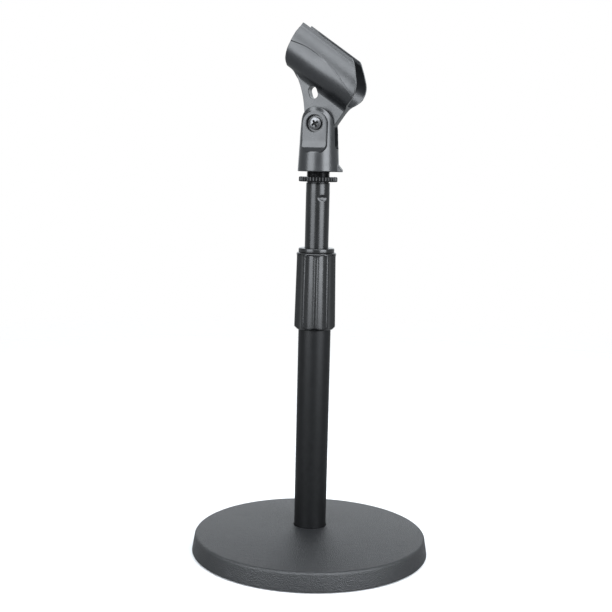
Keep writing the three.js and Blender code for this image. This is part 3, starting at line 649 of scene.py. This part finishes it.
def base_washers():
    inner = BOLT_SHANK_R + 0.3
    flat = turned("base_plain_washer", filleted([
        (inner, WASHER_Z0, 0.2), (WASHER_R, WASHER_Z0, 0.35),
        (WASHER_R, WASHER_Z1, 0.2), (inner, WASHER_Z1, 0.2)], 3))
    place(flat, HARDWARE_STEEL, "base", ["base_flat_washer"])
    spring_r = (SPRING_R - inner) / 2
    spring = turned("base_split_washer", filleted([
        (inner, SPRING_Z0, 0.15), (SPRING_R, SPRING_Z0, 0.3),
        (inner + 2 * spring_r, SPRING_Z1, 0.3), (inner, SPRING_Z1, 0.15)], 3))
    outline = [(-SPLIT_HALF, -6), (SPLIT_HALF, -6), (SPLIT_HALF, 6), (-SPLIT_HALF, 6)]
    gap = prism("gap", outline, 0, SPRING_R + 2, "x")
    middle = Matrix.Translation((0, 0, (SPRING_Z0 + SPRING_Z1) / 2))
    gap.data.transform(middle @ Matrix.Rotation(math.radians(SPLIT_TURN_DEG), 4, "X"))
    place(cut(spring, gap), HARDWARE_STEEL, "base", ["base_spring_washer"])


# ---------- lower tube and clutch ----------

def lower_tube():
    bore = LOWER_R - LOWER_WALL
    tube = turned("lower_tube_skin", filleted([
        (bore, LOWER_Z0, 0.3), (LOWER_R, LOWER_Z0, 0.4), (LOWER_R, LOWER_Z1, 0.4), (bore, LOWER_Z1, 0.3)]))
    place(tube, TUBE_COAT, "base", ["lower_tube"])


def tube_foot_plug():
    bore = BOLT_SHANK_R + 0.1
    plug = turned("foot_plug", filleted([
        (bore, PLUG_Z0, 0.2), (PLUG_R, PLUG_Z0, 0.3), (PLUG_R, PLUG_Z1, 1.0), (bore, PLUG_Z1, 0.6)]), 96)
    place(plug, HARDWARE_STEEL, "base", ["tube_foot_plug"])


def clutch_ferrule():
    sleeve_r = LOWER_R - LOWER_WALL - PRESS_GAP
    step_z = LOWER_Z1 + 0.3
    ferrule = turned("ferrule", filleted([
        (TUBE_BORE_R, FERRULE_Z0, 0.3), (sleeve_r, FERRULE_Z0, 0.5),
        (sleeve_r, step_z, 0.1), (FERRULE_R, step_z, 0.2),
        (FERRULE_R, FERRULE_Z1, 0.25), (FERRULE_R - 0.6, FERRULE_Z1, 0.2),
        (TUBE_BORE_R, LOWER_Z1 + 0.6, 0.2)]), 96)
    place(ferrule, NYLON, "base", ["clutch_ferrule"])


def clutch_collet():
    collet = turned("split_collet", filleted([
        (TUBE_BORE_R, COLLET_Z0, 0.15), (TUBE_BORE_R + 0.6, COLLET_Z0, 0.15),
        (LOWER_R - 0.8, FERRULE_Z1 + 0.4, 0.3), (COLLET_R, FERRULE_Z1 + 1.2, 0.3),
        (COLLET_R, CONE_Z0 - 0.6, 0.5), (TUBE_BORE_R + 0.7, COLLET_Z1, 0.2),
        (TUBE_BORE_R, COLLET_Z1, 0.15)]), 120)
    half = COLLET_SLIT_HALF
    low = COLLET_Z0 - 5
    high = COLLET_Z1 + 5
    slit = prism("slit", [(-half, low), (half, low), (half, high), (-half, high)], 0, COLLET_R + 5, "x")
    place(cut(collet, slit), NYLON, "collet", ["clutch_collet"])


def grip_radius(angles, z):
    """outer radius of the fluted sleeve"""
    body = GRIP_R + (GRIP_R_TOP - GRIP_R) * (z - GRIP_Z0) / (GRIP_Z1 - GRIP_Z0)
    pitch = 2 * math.pi / FLUTES
    across = ((angles - math.radians(LAND_AZIMUTH_DEG)) % pitch - pitch / 2) / math.radians(FLUTE_HALF_DEG)
    hollow = 1 - across ** 2
    arch = FLUTE_ARCH * (1 - np.sqrt(np.clip(1 - across ** 2, 0, 1)))
    fade = smooth_step((GRIP_Z1 - FLUTE_TOP_MARGIN - arch - z) / FLUTE_TOP_SLOPE)
    flute = FLUTE_DEPTH * fade * (hollow + np.sqrt(hollow ** 2 + FLUTE_EDGE_SOFTNESS)) / 2
    chamfer = GRIP_R - GRIP_CHAMFER + (z - GRIP_Z0) * GRIP_CHAMFER_SLOPE
    drop = max(0.0, GRIP_SHOULDER - (GRIP_Z1 - z))
    shoulder = body - GRIP_SHOULDER + math.sqrt(max(0.0, GRIP_SHOULDER ** 2 - drop ** 2))
    return np.minimum(soft_min(body - flute, chamfer, 0.2), shoulder)


def clutch_grip():
    angles = np.linspace(0, 2 * math.pi, FLUTES * 36, endpoint=False)
    circle = circles(angles)
    heights = np.concatenate([
        np.linspace(GRIP_Z0, GRIP_Z0 + 2.4, 13)[:-1],
        np.linspace(GRIP_Z0 + 2.4, GRIP_Z1 - 5, 14)[:-1],
        np.linspace(GRIP_Z1 - 5, GRIP_Z1, 41),
    ])
    rows = [circle(NUT_BORE_R, GRIP_Z0 + 0.3), circle(NUT_BORE_R + 0.3, GRIP_Z0)]
    rows += [ring_of(grip_radius(angles, z), z, angles) for z in heights]
    rows += [circle(r, z) for r, z in (
        (COUNTERBORE_R + 0.2, GRIP_Z1), (COUNTERBORE_R, GRIP_Z1 - 0.2), (COUNTERBORE_R, CONE_Z1),
        (CONE_TOP_R, CONE_Z1), (NUT_BORE_R, CONE_Z0), (NUT_BORE_R, CONE_Z0 - 1))]
    place(looped("twist_grip", rows), GRIP_PLASTIC, "grip", ["clutch_grip"], 50)


def clutch_collar():
    spigot = CONE_TOP_R + 1.2
    seat = GRIP_Z1 + 0.1
    groove = WIPER_R + 0.1
    low, high = WIPER_Z0 - 0.15, WIPER_Z1 + 0.15
    collar = turned("collar_cap", filleted([
        (COLLAR_BORE_R, COLLAR_Z0, 0.2), (spigot, COLLAR_Z0, 0.3), (spigot, seat), (COLLAR_R, seat, 0.25),
        (COLLAR_R, COLLAR_Z1, 0.7), (COLLAR_BORE_R, COLLAR_Z1, 0.3), (COLLAR_BORE_R, high),
        (groove, high), (groove, low), (COLLAR_BORE_R, low)], 6))
    place(collar, GRIP_PLASTIC, "grip", ["clutch_collar"])


def wiper_ring():
    half = (WIPER_R - TUBE_BORE_R) / 2
    ring = turned("wiper_seal", arc(TUBE_BORE_R + half, (WIPER_Z0 + WIPER_Z1) / 2, half, 0, 337.5, 15), 120)
    place(ring, SEAL_RUBBER, "grip", ["wiper_ring"])


# ---------- upper tube, stud and lock ring ----------

def dimple_depth(angles, z):
    """how far the crimp sinks into the tube"""
    turn = (angles - math.radians(DIMPLE_AZIMUTH_DEG) + math.pi) % (2 * math.pi) - math.pi
    across = turn * UPPER_R / (DIMPLE_WIDTH / 2)
    up = (z - DIMPLE_Z) / (DIMPLE_HEIGHT / 2)
    return DIMPLE_DEPTH * smooth_step(1.25 * (1 - np.sqrt(across ** 2 + up ** 2)))


def upper_tube():
    angles = np.linspace(0, 2 * math.pi, 288, endpoint=False)
    bore = UPPER_R - UPPER_WALL
    circle = circles(angles)
    dent = np.linspace(DIMPLE_Z - DIMPLE_HEIGHT / 2 - 0.3, DIMPLE_Z + DIMPLE_HEIGHT / 2 + 0.3, 38)
    rows = [circle(bore, UPPER_Z0 + 0.3), circle(bore + 0.3, UPPER_Z0), circle(UPPER_R - 0.3, UPPER_Z0)]
    rows += [circle(UPPER_R, z) for z in (UPPER_Z0 + 0.3, UPPER_Z0 + 40, UPPER_Z0 + 90, DIMPLE_Z - 12)]
    rows += [ring_of(UPPER_R - dimple_depth(angles, z), z, angles) for z in dent]
    rows += [circle(UPPER_R, UPPER_Z1 - 0.35), circle(UPPER_R - 0.1, UPPER_Z1 - 0.1)]
    rows += [circle(UPPER_R - 0.35, UPPER_Z1), circle(bore + 0.2, UPPER_Z1), circle(bore, UPPER_Z1 - 0.2)]
    place(looped("upper_tube_skin", rows), GLOSS, "mast", ["upper_tube"])


def guide_bush():
    bore = UPPER_R + PRESS_GAP
    bush = turned("slide_bush", filleted([
        (bore, BUSH_Z0, 0.2), (BUSH_R, BUSH_Z0, 0.5), (BUSH_R, BUSH_Z1, 0.5), (bore, BUSH_Z1, 0.2)]), 96)
    place(bush, NYLON, "mast", ["guide_bush"])


def thread_stud():
    angles = np.linspace(0, 2 * math.pi, 96, endpoint=False)
    circle = circles(angles)
    shank = UPPER_R - UPPER_WALL - PRESS_GAP
    shoulder = UPPER_Z1 + 0.1
    root = STUD_R - THREAD_DEPTH
    rows = [circle(0, STUD_Z0), circle(shank - 0.8, STUD_Z0), circle(shank, STUD_Z0 + 0.8)]
    rows += [circle(shank, shoulder), circle(root, shoulder)]
    rows += threaded_rows(STUD_R, THREAD_DEPTH, THREAD_PITCH, shoulder + 0.1, STUD_Z1 - 0.5, angles)
    rows += [circle(root - 0.1, STUD_Z1 - 0.4), circle(root - 0.5, STUD_Z1), circle(0, STUD_Z1)]
    place(looped("threaded_stud", rows), STUD_STEEL, "mast", ["thread_stud"], 60)


def lock_ring():
    angles = np.linspace(0, 2 * math.pi, RING_TEETH * STEPS_PER_TOOTH, endpoint=False)
    circle = circles(angles)
    bore = STUD_R + 0.15
    tooth = RING_R - RING_TOOTH_DEPTH * (1 - np.abs(np.cos(angles * RING_TEETH / 2)))
    middle = (RING_Z0 + RING_Z1) / 2
    half = (RING_Z1 - RING_Z0) / 2
    rows = [circle(bore + 0.25, RING_Z0)]
    for t in np.linspace(-1, 1, 17):
        inset = 0.55 * max(0.0, (abs(t) - 0.6) / 0.4) ** 2
        rows.append(ring_of(tooth - inset, middle + half * t, angles))
    rows += [circle(bore + 0.25, RING_Z1), circle(bore, RING_Z1 - 0.25), circle(bore, RING_Z0 + 0.25)]
    place(looped("knurled_lock_ring", rows), RING_COAT, "ring", ["lock_ring"], 50)


# ---------- clevis and its hardware ----------

def clip_cone():
    z = lambda rise: CLIP_Z0 + rise
    return turned("swivel_clip", filleted([
        (0, z(0)), (CLIP_FOOT_R, z(0), 0.6), (13.3, z(13), 8),
        (12.5, z(31), 8), (12.2, z(45)), (0, z(45))], 6), 144)


def ear_outline():
    low = CLIP_Z0 - 1
    waist = CLIP_Z0 + EAR_RISE
    top = arc(0, PIVOT_Z, EAR_TOP_R, 4, 176, 40)
    return [(-15, low), (15, low), (EAR_HALF_X, waist), *top, (-EAR_HALF_X, waist)]


def pad_outline(grow=0.0):
    z0 = CLIP_Z0 + PAD_RISE
    inner = PAD_HALF_X - PAD_CORNER
    corner = PAD_CORNER + grow
    return [*arc(inner, z0 + PAD_CORNER, corner, -90, 0, 10), *arc(0, PIVOT_Z, PAD_HALF_X + grow, 0, 180, 40),
            *arc(-inner, z0 + PAD_CORNER, corner, 180, 270, 10)]


def pad_clearance(side):
    """tool that leaves a flat face, a hollow foot, a ridge and an undercut; side is -1 in front, 1 behind"""
    z = lambda rise: CLIP_Z0 + rise
    hollow = spline([
        (PAD_Y, z(20.8)), (PAD_Y + 0.2, z(19.6)), (PAD_Y + 0.7, z(18.3)), (PAD_RIDGE_Y, z(RIDGE_RISE))])
    under = [(PAD_RIDGE_Y - 0.1, z(RIDGE_RISE - 0.6)), (PAD_RIDGE_Y - 1.1, z(PAD_RISE))]
    top = PIVOT_Z + 12
    bottom = z(PAD_RISE - 1)
    outline = [(side * y, height) for y, height in [(PAD_Y, top), *hollow, *under, (20, bottom), (20, top)]]
    clearance = prism("clearance", outline, -PAD_HALF_X - 2, PAD_HALF_X + 2, "x")
    return combine(clearance, prism("mask", pad_outline(0.03), -19, 19), "INTERSECT")


def slot_tool():
    z0 = CLIP_Z0 + SLOT_RISE
    inner = SLOT_HALF - SLOT_CORNER
    outline = [
        (SLOT_HALF, z0 + 50), (-SLOT_HALF, z0 + 50),
        *arc(-inner, z0 + SLOT_CORNER, SLOT_CORNER, 180, 270, 8),
        *arc(inner, z0 + SLOT_CORNER, SLOT_CORNER, 270, 360, 8)]
    return prism("slot", outline, -20, 20, "x")


def clip_fin():
    reach = CLIP_HIGH.x
    top = CLIP_Z0 + FIN_RISE
    outline = [(FIN_ROOT_X, CLIP_Z0), (reach, CLIP_Z0), (reach, CLIP_Z0 + FIN_TIP_RISE), (FIN_TOP_X, top),
               (FIN_ROOT_X, top)]
    return prism("fin", outline, -FIN_HALF_Y, FIN_HALF_Y)


def pivot_bar(radius, low, high, steps=64):
    return prism("bar", arc(0, PIVOT_Z, radius, 0, 360 - 360 / steps, steps - 1), low, high)


def clip_base():
    body = combine(clip_cone(), prism("ears", ear_outline(), -20, 20), "INTERSECT")
    combine(body, prism("pads", pad_outline(), -PAD_RIDGE_Y, PAD_RIDGE_Y), "UNION")
    cut(body, pad_clearance(-1), pad_clearance(1), slot_tool())
    combine(body, clip_fin(), "UNION")
    insert_bore = turned("bore", [(0, CLIP_Z0 - 1), (INSERT_R + PRESS_GAP, CLIP_Z0 - 1),
                                  (INSERT_R + PRESS_GAP, INSERT_Z1 + 0.3), (0, INSERT_Z1 + 0.3)], 96)
    pocket = [(x, z + PIVOT_Z) for x, z in arc(0, 0, (NUT_FLATS + 0.4) / math.sqrt(3), 0, 300, 5)]
    cut(body, insert_bore, pivot_bar(PIVOT_HOLE_R, -20, 20), pivot_bar(HEAD_RECESS_R, -20, -HEAD_RECESS_Y),
        prism("nut_pocket", pocket, NUT_POCKET_Y, 20))
    place(soften(body, CLIP_VOXEL, 5), CLIP_PLASTIC, "clip", ["clip_base"], 60)


def clip_thread_insert():
    bore = STUD_R + 0.25
    insert = turned("brass_insert", filleted([
        (bore, INSERT_Z0, 0.4), (INSERT_R, INSERT_Z0, 0.2),
        (INSERT_R, INSERT_Z1, 0.2), (bore, INSERT_Z1, 0.4)]), 120)
    place(insert, BRASS, "clip", ["clip_thread_insert"])


def friction_washers():
    for node in ("friction_washer_front", "friction_washer_rear"):
        low, high = (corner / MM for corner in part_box(node))
        radius = (high.x - low.x) / 2
        washer = turned(node.replace("friction", "fibre"), filleted([
            (PIVOT_HOLE_R, low.y, 0.12), (radius, low.y, 0.15),
            (radius, high.y, 0.15), (PIVOT_HOLE_R, high.y, 0.12)], 3), 96)
        washer.data.transform(along_y())
        place(washer, NYLON, "clip", [node])


def along_y():
    """turns a part made about Z so that its axis is the pivot, with its z as Y"""
    turn = Matrix(((1, 0, 0, 0), (0, 0, 1, 0), (0, -1, 0, 0), (0, 0, 0, 1)))
    return Matrix.Translation((0, 0, PIVOT_Z)) @ turn


def cross_blade(turn_deg, top):
    """one blade of the cross recess, narrowing towards its bottom"""
    outline = [(-2.6, top - 0.5), (2.6, top - 0.5), (1.9, top + 1.9), (-1.9, top + 1.9)]
    blade = prism("blade", outline, -0.75, 0.75)
    blade.data.transform(Matrix.Rotation(math.radians(turn_deg), 4, "Z"))
    return blade


def crown_drop(r):
    """how far the domed face of the screw head has fallen away at a radius"""
    return CROWN_DROP * (r / SCREW_HEAD_R) ** CROWN_POWER


def pivot_screw():
    top = SCREW_LOW.y
    seat = -HEAD_RECESS_Y - 0.1
    crown = [(r, top + crown_drop(r)) for r in np.linspace(0, SCREW_HEAD_R - 0.25, 14)]
    rim = filleted([crown[-1], (SCREW_HEAD_R, top + 1.25, 0.3), (SCREW_HEAD_R, seat, 0.3), (0, seat)], 4)
    head = turned("screw_head", crown[:-1] + rim, 96)
    cut(head, cross_blade(CROSS_TURN_DEG, top), cross_blade(CROSS_TURN_DEG + 90, top))
    head.data.transform(along_y())
    place(head, SCREW_STEEL, "clip", ["pivot_screw"], 30)
    # the faces sunk in the cross recess take the near-black finish, which is painted shade for the recess's
    # shadow
    head.data.materials.append(RECESS_PAINTED_SHADE)
    for face in head.data.polygons:
        x, y, z = face.center / MM
        across = math.hypot(x, z - PIVOT_Z)
        sunk = y > top + crown_drop(across) + 0.12
        face.material_index = int(sunk and across < SCREW_HEAD_R - 0.6 and y < seat - 0.2)
    angles = np.linspace(0, 2 * math.pi, 64, endpoint=False)
    circle = circles(angles)
    end = SCREW_HIGH.y
    rows = [circle(0, seat - 0.4), circle(SCREW_R, seat - 0.4), circle(SCREW_R, 3.0)]
    rows += threaded_rows(SCREW_R, SCREW_THREAD_DEPTH, SCREW_THREAD_PITCH, 3.1, end - 0.4, angles)
    rows += [circle(SCREW_R - 0.45, end - 0.3), circle(SCREW_R - 0.8, end), circle(0, end)]
    shank = looped("screw_shank", rows)
    shank.data.transform(along_y())
    place(shank, SCREW_STEEL, "clip", [], 60)


def pivot_nut():
    angles = np.linspace(0, 2 * math.pi, 144, endpoint=False)
    bore = SCREW_R + 0.12
    circle = circles(angles)
    low, high = NUT_LOW.y, NUT_HIGH.y
    rows = [circle(bore, low + 0.4), circle(bore + 0.4, low)]
    rows += hex_rows(angles, NUT_FLATS, low, high, True, True)
    rows += [circle(bore + 0.4, high), circle(bore, high - 0.4)]
    nut = looped("hex_nut", rows)
    nut.data.transform(along_y())
    place(nut, HARDWARE_STEEL, "clip", ["pivot_nut"])


# ---------- holder, in its own frame: u along the channel, v out of it ----------

CREASE = [(-52, 29.5), (-45, 34.0), (-39, 35.9), (-34, 37.0), (-28, 37.5), (-22, 37.4), (-15.6, 36.7),
          (-10, 35.8), (-5.5, 34.5), (-0.5, 32.9), (4.7, 31.4), (12, 29.1), (18, 27)]


def mix(a, b, t):
    return a + (b - a) * t


def taper(u):
    """how much of its full width the channel has, less towards the tail"""
    return mix(1, HULL_TAIL_SCALE, min(1, max(0, (HULL_TAPER_START_U - u) / HULL_TAPER_LENGTH)))


def flank(angle, wide):
    """point of the channel's outside at an angle above its axis, as (y, v)"""
    reach = FLANK_RISE if angle > 0 else HULL_OUTER_R
    return wide * math.cos(angle), HULL_AXIS_V + reach * math.sin(angle)


def flank_angle(v):
    reach = FLANK_RISE if v > HULL_AXIS_V else HULL_OUTER_R
    return math.asin((v - HULL_AXIS_V) / reach)


def keel_half(u, wide, tangent):
    """from the underside to the middle: a round bottom at the tail, a hollow fillet into the web ahead"""
    keel = smooth_step((u + 38) / 11)
    centre = (KEEL_FACE + KEEL_FILLET, HULL_AXIS_V + (HULL_OUTER_R + KEEL_FILLET) * math.sin(tangent))
    points = []
    for t in np.linspace(0, 1, 9)[1:]:
        bare = flank(mix(tangent, math.radians(-90), t), wide)
        turn = mix(tangent, 0, t)
        hollow = (centre[0] - KEEL_FILLET * math.cos(turn), centre[1] - KEEL_FILLET * math.sin(turn))
        points.append((mix(bare[0], hollow[0], keel), mix(bare[1], hollow[1], keel)))
    points.append((0, points[-1][1]))
    return points


def outer_half(u, crease):
    """half of the outer outline at u, from lip to keel, as (y, v)"""
    s = taper(u)
    wide = HULL_HALF * s
    lip = LIP_HALF * s
    band_v = LIP_V - LIP_BAND
    points = [(lip - 0.35, LIP_V), (lip, LIP_V - 0.35), (lip + 0.35, band_v + 0.2), (lip + 0.3, band_v - 0.1)]
    for t in np.linspace(0, 1, 15):
        points.append(flank(mix(flank_angle(band_v - 0.5), flank_angle(crease), t), wide))
    step = mix(CREASE_STEP_TAIL, CREASE_STEP_MOUTH, float(smooth_step((u + 26) / 22)))
    tangent = -math.acos((KEEL_FACE + KEEL_FILLET) / (HULL_OUTER_R + KEEL_FILLET))
    for t in np.linspace(0, 1, 22):
        y, v = flank(mix(flank_angle(crease - 0.55), tangent, t), wide)
        points.append((y - step * (1 - t) ** 2, v))
    return points + keel_half(u, wide, tangent)


def inner_half(u, count):
    """half of the inner outline at u, from lip to keel, with as many points as the outer one"""
    s = taper(u)
    wide = HULL_HALF * s - HULL_WALL
    lip = LIP_HALF * s - HULL_WALL
    points = [(lip, LIP_V), (lip, LIP_V - LIP_BAND / 2), (lip, LIP_V - LIP_BAND)]
    rows = 15
    for t in np.linspace(0.06, 0.94, rows):
        points.append((mix(lip, wide, math.sin(t * math.pi / 2)), mix(LIP_V - LIP_BAND, HULL_AXIS_V, t)))
    for a in np.radians(np.linspace(0, -90, count - rows - 3)):
        points.append((wide * math.cos(a), HULL_AXIS_V + (HULL_OUTER_R - HULL_WALL) * math.sin(a)))
    return points


def mirrored(half):
    return [(-y, v) for y, v in half[:-1]] + [half[-1]] + half[:-1][::-1]


def hull_loft():
    line = np.array(spline(CREASE, 8))
    stations = np.linspace(HULL_START_U, HULL_END_U, 66)
    vertices = []
    for u in stations:
        half = outer_half(u, float(np.interp(u, line[:, 0], line[:, 1])))
        section = mirrored(half) + mirrored(inner_half(u, len(half)))[::-1]
        vertices += [(u, v, -y) for y, v in section]
    n = len(section)
    faces = []
    for k in range(len(stations) - 1):
        for i in range(n):
            j = (i + 1) % n
            faces.append((k * n + i, k * n + j, (k + 1) * n + j, (k + 1) * n + i))
    last = (len(stations) - 1) * n
    for i in range(n // 2 - 1):
        cap = (i, i + 1, n - 2 - i, n - 1 - i)
        faces.append(cap)
        faces.append(tuple(last + c for c in reversed(cap)))
    return clean(new_object("mic_cradle", vertices, faces))


def side_outline():
    tail = spline([(-45.2, 40.2), (-44.5, 34.8), (-43.9, 29.6), (-43.0, 25.2), (-42.0, 21.8), (-40.6, 19.2)])
    mouth = spline([(10.2, 21), (11.3, 25.0), (11.6, 28.4), (10.5, 33.2), (8.3, 37.1), (4.6, 40.9),
                    (1.2, 44.1), (-2.3, 47.0), (-4.1, LIP_V)])
    return [(-45.2, LIP_V + 1), *tail, (-40.3, 10), (10, 10), *mouth, (-4.6, LIP_V + 1)]


def web_outline():
    rear = spline([(-12.3, 1.0), (-14.5, 3.6), (-18.6, 8.0), (-23.3, 12.1),
                   (-28.1, 15.5), (-32.0, 17.9), (-36.0, 19.2)])
    return [(10, 20.5), *arc(0, 0, TONGUE_R, 0, -140, 40), *rear, (-35.0, 19.6)]


def slot_outline(centre, half_width, half_length, turn_deg):
    shift = half_length - half_width
    ends = arc(shift, 0, half_width, -90, 90, 16) + arc(-shift, 0, half_width, 90, 270, 16)
    turn = cmath.exp(1j * math.radians(turn_deg))
    points = [complex(x, y) * turn for x, y in ends]
    return [(centre[0] + point.real, centre[1] + point.imag) for point in points]


def round_tool(radius, low, high, steps=64):
    return prism("tool", arc(0, 0, radius, 0, 360 - 360 / steps, steps - 1), low, high, "z")


def clip_holder():
    holder = combine(hull_loft(), prism("side", side_outline(), -40, 40, "z"), "INTERSECT")
    combine(holder, prism("web", web_outline(), -WEB_HALF, WEB_HALF, "z"), "UNION")
    window = slot_outline(WINDOW_CENTRE, WINDOW_HALF_WIDTH, WINDOW_HALF_LENGTH, WINDOW_TURN_DEG)
    seat_r = (FRONT_HIGH.x - FRONT_LOW.x) / 2 + 0.3
    seat = FRONT_HIGH.y
    cut(holder, prism("window", window, -20, 20, "z"), round_tool(PIVOT_HOLE_R, -20, 20),
        round_tool(seat_r, -seat - 0.3, 20), round_tool(seat_r, -20, seat + 0.3))
    soften(holder, CRADLE_VOXEL, 6)
    t = math.radians(HOLDER_TILT_DEG)
    turn = Matrix((
        (math.cos(t), math.sin(t), 0, 0), (0, 0, -1, 0), (-math.sin(t), math.cos(t), 0, 0), (0, 0, 0, 1)))
    holder.data.transform(Matrix.Translation((0, 0, PIVOT_Z)) @ turn)
    place(holder, CLIP_PLASTIC, "holder", ["clip_holder"], 60)


# ---------- studio ----------

CAMERA_AZIMUTH_DEG = 15.5
CAMERA_DISTANCE = 0.76061
CAMERA_HEIGHT = 0.26980
CAMERA_PITCH_DEG = 7.3068
CAMERA_ROLL_DEG = 1.3309
CAMERA_YAW_DEG = -0.4653
CAMERA_LENS = 66.24
CAMERA_SENSOR = 36

SOFT_BOX_TINT = (0.955, 1.0, 1.055)
SIDE_BOX_TURN_DEG = 44
LEFT_BOX = 5.6
RIGHT_BOX = 7.4
TOP_BOX = 4.8
BACK_BOX = 0.9
ROOM_LIGHT = 0.5
FLOOR_R = 1.6
FLOOR_SHADE = 0.2
FLOOR_SEEN = 0.86


def camera():
    a = math.radians(CAMERA_AZIMUTH_DEG)
    p = math.radians(CAMERA_PITCH_DEG)
    r = math.radians(CAMERA_ROLL_DEG)
    w = math.radians(CAMERA_YAW_DEG)
    to_world = Matrix.Rotation(a, 3, "Z")
    ahead = Vector((math.sin(w), math.cos(w), 0))
    right = Vector((math.cos(w), -math.sin(w), 0))
    forward = ahead * math.cos(p) - Vector((0, 0, math.sin(p)))
    up = Vector((0, 0, math.cos(p))) + ahead * math.sin(p)
    axis_x = to_world @ (right * math.cos(r) + up * math.sin(r))
    axis_y = to_world @ (up * math.cos(r) - right * math.sin(r))
    axis_z = to_world @ -forward
    data = bpy.data.cameras.new("camera")
    data.lens = CAMERA_LENS
    data.sensor_width = CAMERA_SENSOR
    obj = bpy.data.objects.new("camera", data)
    scene.collection.objects.link(obj)
    place_at = to_world @ Vector((0, -CAMERA_DISTANCE, CAMERA_HEIGHT))
    obj.matrix_world = Matrix.Translation(place_at) @ Matrix((axis_x, axis_y, axis_z)).transposed().to_4x4()
    scene.camera = obj


def soft_box(name, azimuth_deg, distance, z, width, height, radiance, target_z=None):
    """an area light of even brightness that faces the stand"""
    data = bpy.data.lights.new(name, "AREA")
    data.shape = "RECTANGLE"
    data.size = width
    data.size_y = height
    data.energy = radiance * math.pi * width * height
    data.color = SOFT_BOX_TINT
    obj = bpy.data.objects.new(name, data)
    scene.collection.objects.link(obj)
    a = math.radians(azimuth_deg)
    obj.location = (math.sin(a) * distance, -math.cos(a) * distance, z)
    towards = Vector((0, 0, z if target_z is None else target_z)) - obj.location
    obj.rotation_euler = towards.to_track_quat("-Z", "Y").to_euler()
    obj.visible_camera = False
    return obj


def floor():
    """round floor that fades out at its edge; it looks pale, but lights the stand as a darker one would"""
    data = bpy.data.meshes.new("floor")
    turns = np.linspace(0, 2 * math.pi, 96, endpoint=False)
    edge = [(FLOOR_R * math.cos(a), FLOOR_R * math.sin(a), 0) for a in turns]
    data.from_pydata(edge, [], [tuple(range(len(edge)))])
    obj = bpy.data.objects.new("floor", data)
    scene.collection.objects.link(obj)
    finish = Finish("floor", grey(0.82), 0.7)
    finish.mottle(finish.noise(60), grey(FLOOR_SHADE), grey(FLOOR_SHADE + 0.01))
    colour = finish.shader.inputs["Base Color"].links[0].from_socket
    seen = finish.nodes.new("ShaderNodeMix")
    seen.data_type = "RGBA"
    seen.inputs[7].default_value = (*grey(FLOOR_SEEN), 1)
    path = finish.nodes.new("ShaderNodeLightPath")
    finish.links.new(path.outputs["Is Camera Ray"], seen.inputs[0])
    finish.links.new(colour, seen.inputs[6])
    finish.links.new(seen.outputs[2], finish.shader.inputs["Base Color"])
    centre = finish.nodes.new("ShaderNodeVectorMath")
    centre.operation = "LENGTH"
    finish.links.new(finish.coordinates, centre.inputs[0])
    fade = finish.spread(centre.outputs["Value"], 1, 0, 0.35, 1.2)
    finish.links.new(fade, finish.shader.inputs["Alpha"])
    data.materials.append(finish.material)


def world():
    made = bpy.data.worlds.new("studio")
    made.use_nodes = True
    nodes, links = made.node_tree.nodes, made.node_tree.links
    room = nodes["Background"]
    room.inputs["Color"].default_value = (0.92, 0.97, 1.0, 1)
    room.inputs["Strength"].default_value = ROOM_LIGHT
    white = nodes.new("ShaderNodeBackground")
    white.inputs["Color"].default_value = (1, 1, 1, 1)
    white.inputs["Strength"].default_value = 1.0
    path = nodes.new("ShaderNodeLightPath")
    mixer = nodes.new("ShaderNodeMixShader")
    links.new(path.outputs["Is Camera Ray"], mixer.inputs[0])
    links.new(room.outputs[0], mixer.inputs[1])
    links.new(white.outputs[0], mixer.inputs[2])
    links.new(mixer.outputs[0], nodes["World Output"].inputs["Surface"])
    scene.world = made


def studio():
    soft_box("left_box", CAMERA_AZIMUTH_DEG - SIDE_BOX_TURN_DEG, 1.1, 1.02, 0.80, 1.90, LEFT_BOX)
    soft_box("right_box", CAMERA_AZIMUTH_DEG + SIDE_BOX_TURN_DEG, 1.1, 1.02, 0.80, 1.90, RIGHT_BOX)
    soft_box("top_box", CAMERA_AZIMUTH_DEG, 1.2, 1.5, 0.9, 1.1, TOP_BOX, 0.33)
    soft_box("back_box", CAMERA_AZIMUTH_DEG + 180, 1.7, 0.75, 2.2, 1.1, BACK_BOX, 0.3)
    floor()
    world()
    camera()
    scene.view_settings.view_transform = "Standard"
    scene.view_settings.look = "None"
    scene.view_settings.exposure = 0
    scene.view_settings.gamma = 1


# ---------- assembly ----------

PARTS = (
    base_casting, base_feet, base_bolt, base_washers,
    lower_tube, tube_foot_plug, clutch_ferrule, clutch_collet, clutch_grip, clutch_collar, wiper_ring,
    upper_tube, guide_bush, thread_stud, lock_ring,
    clip_base, clip_thread_insert, friction_washers, pivot_screw, pivot_nut, clip_holder)

for make in (*PARTS, studio):
    make()
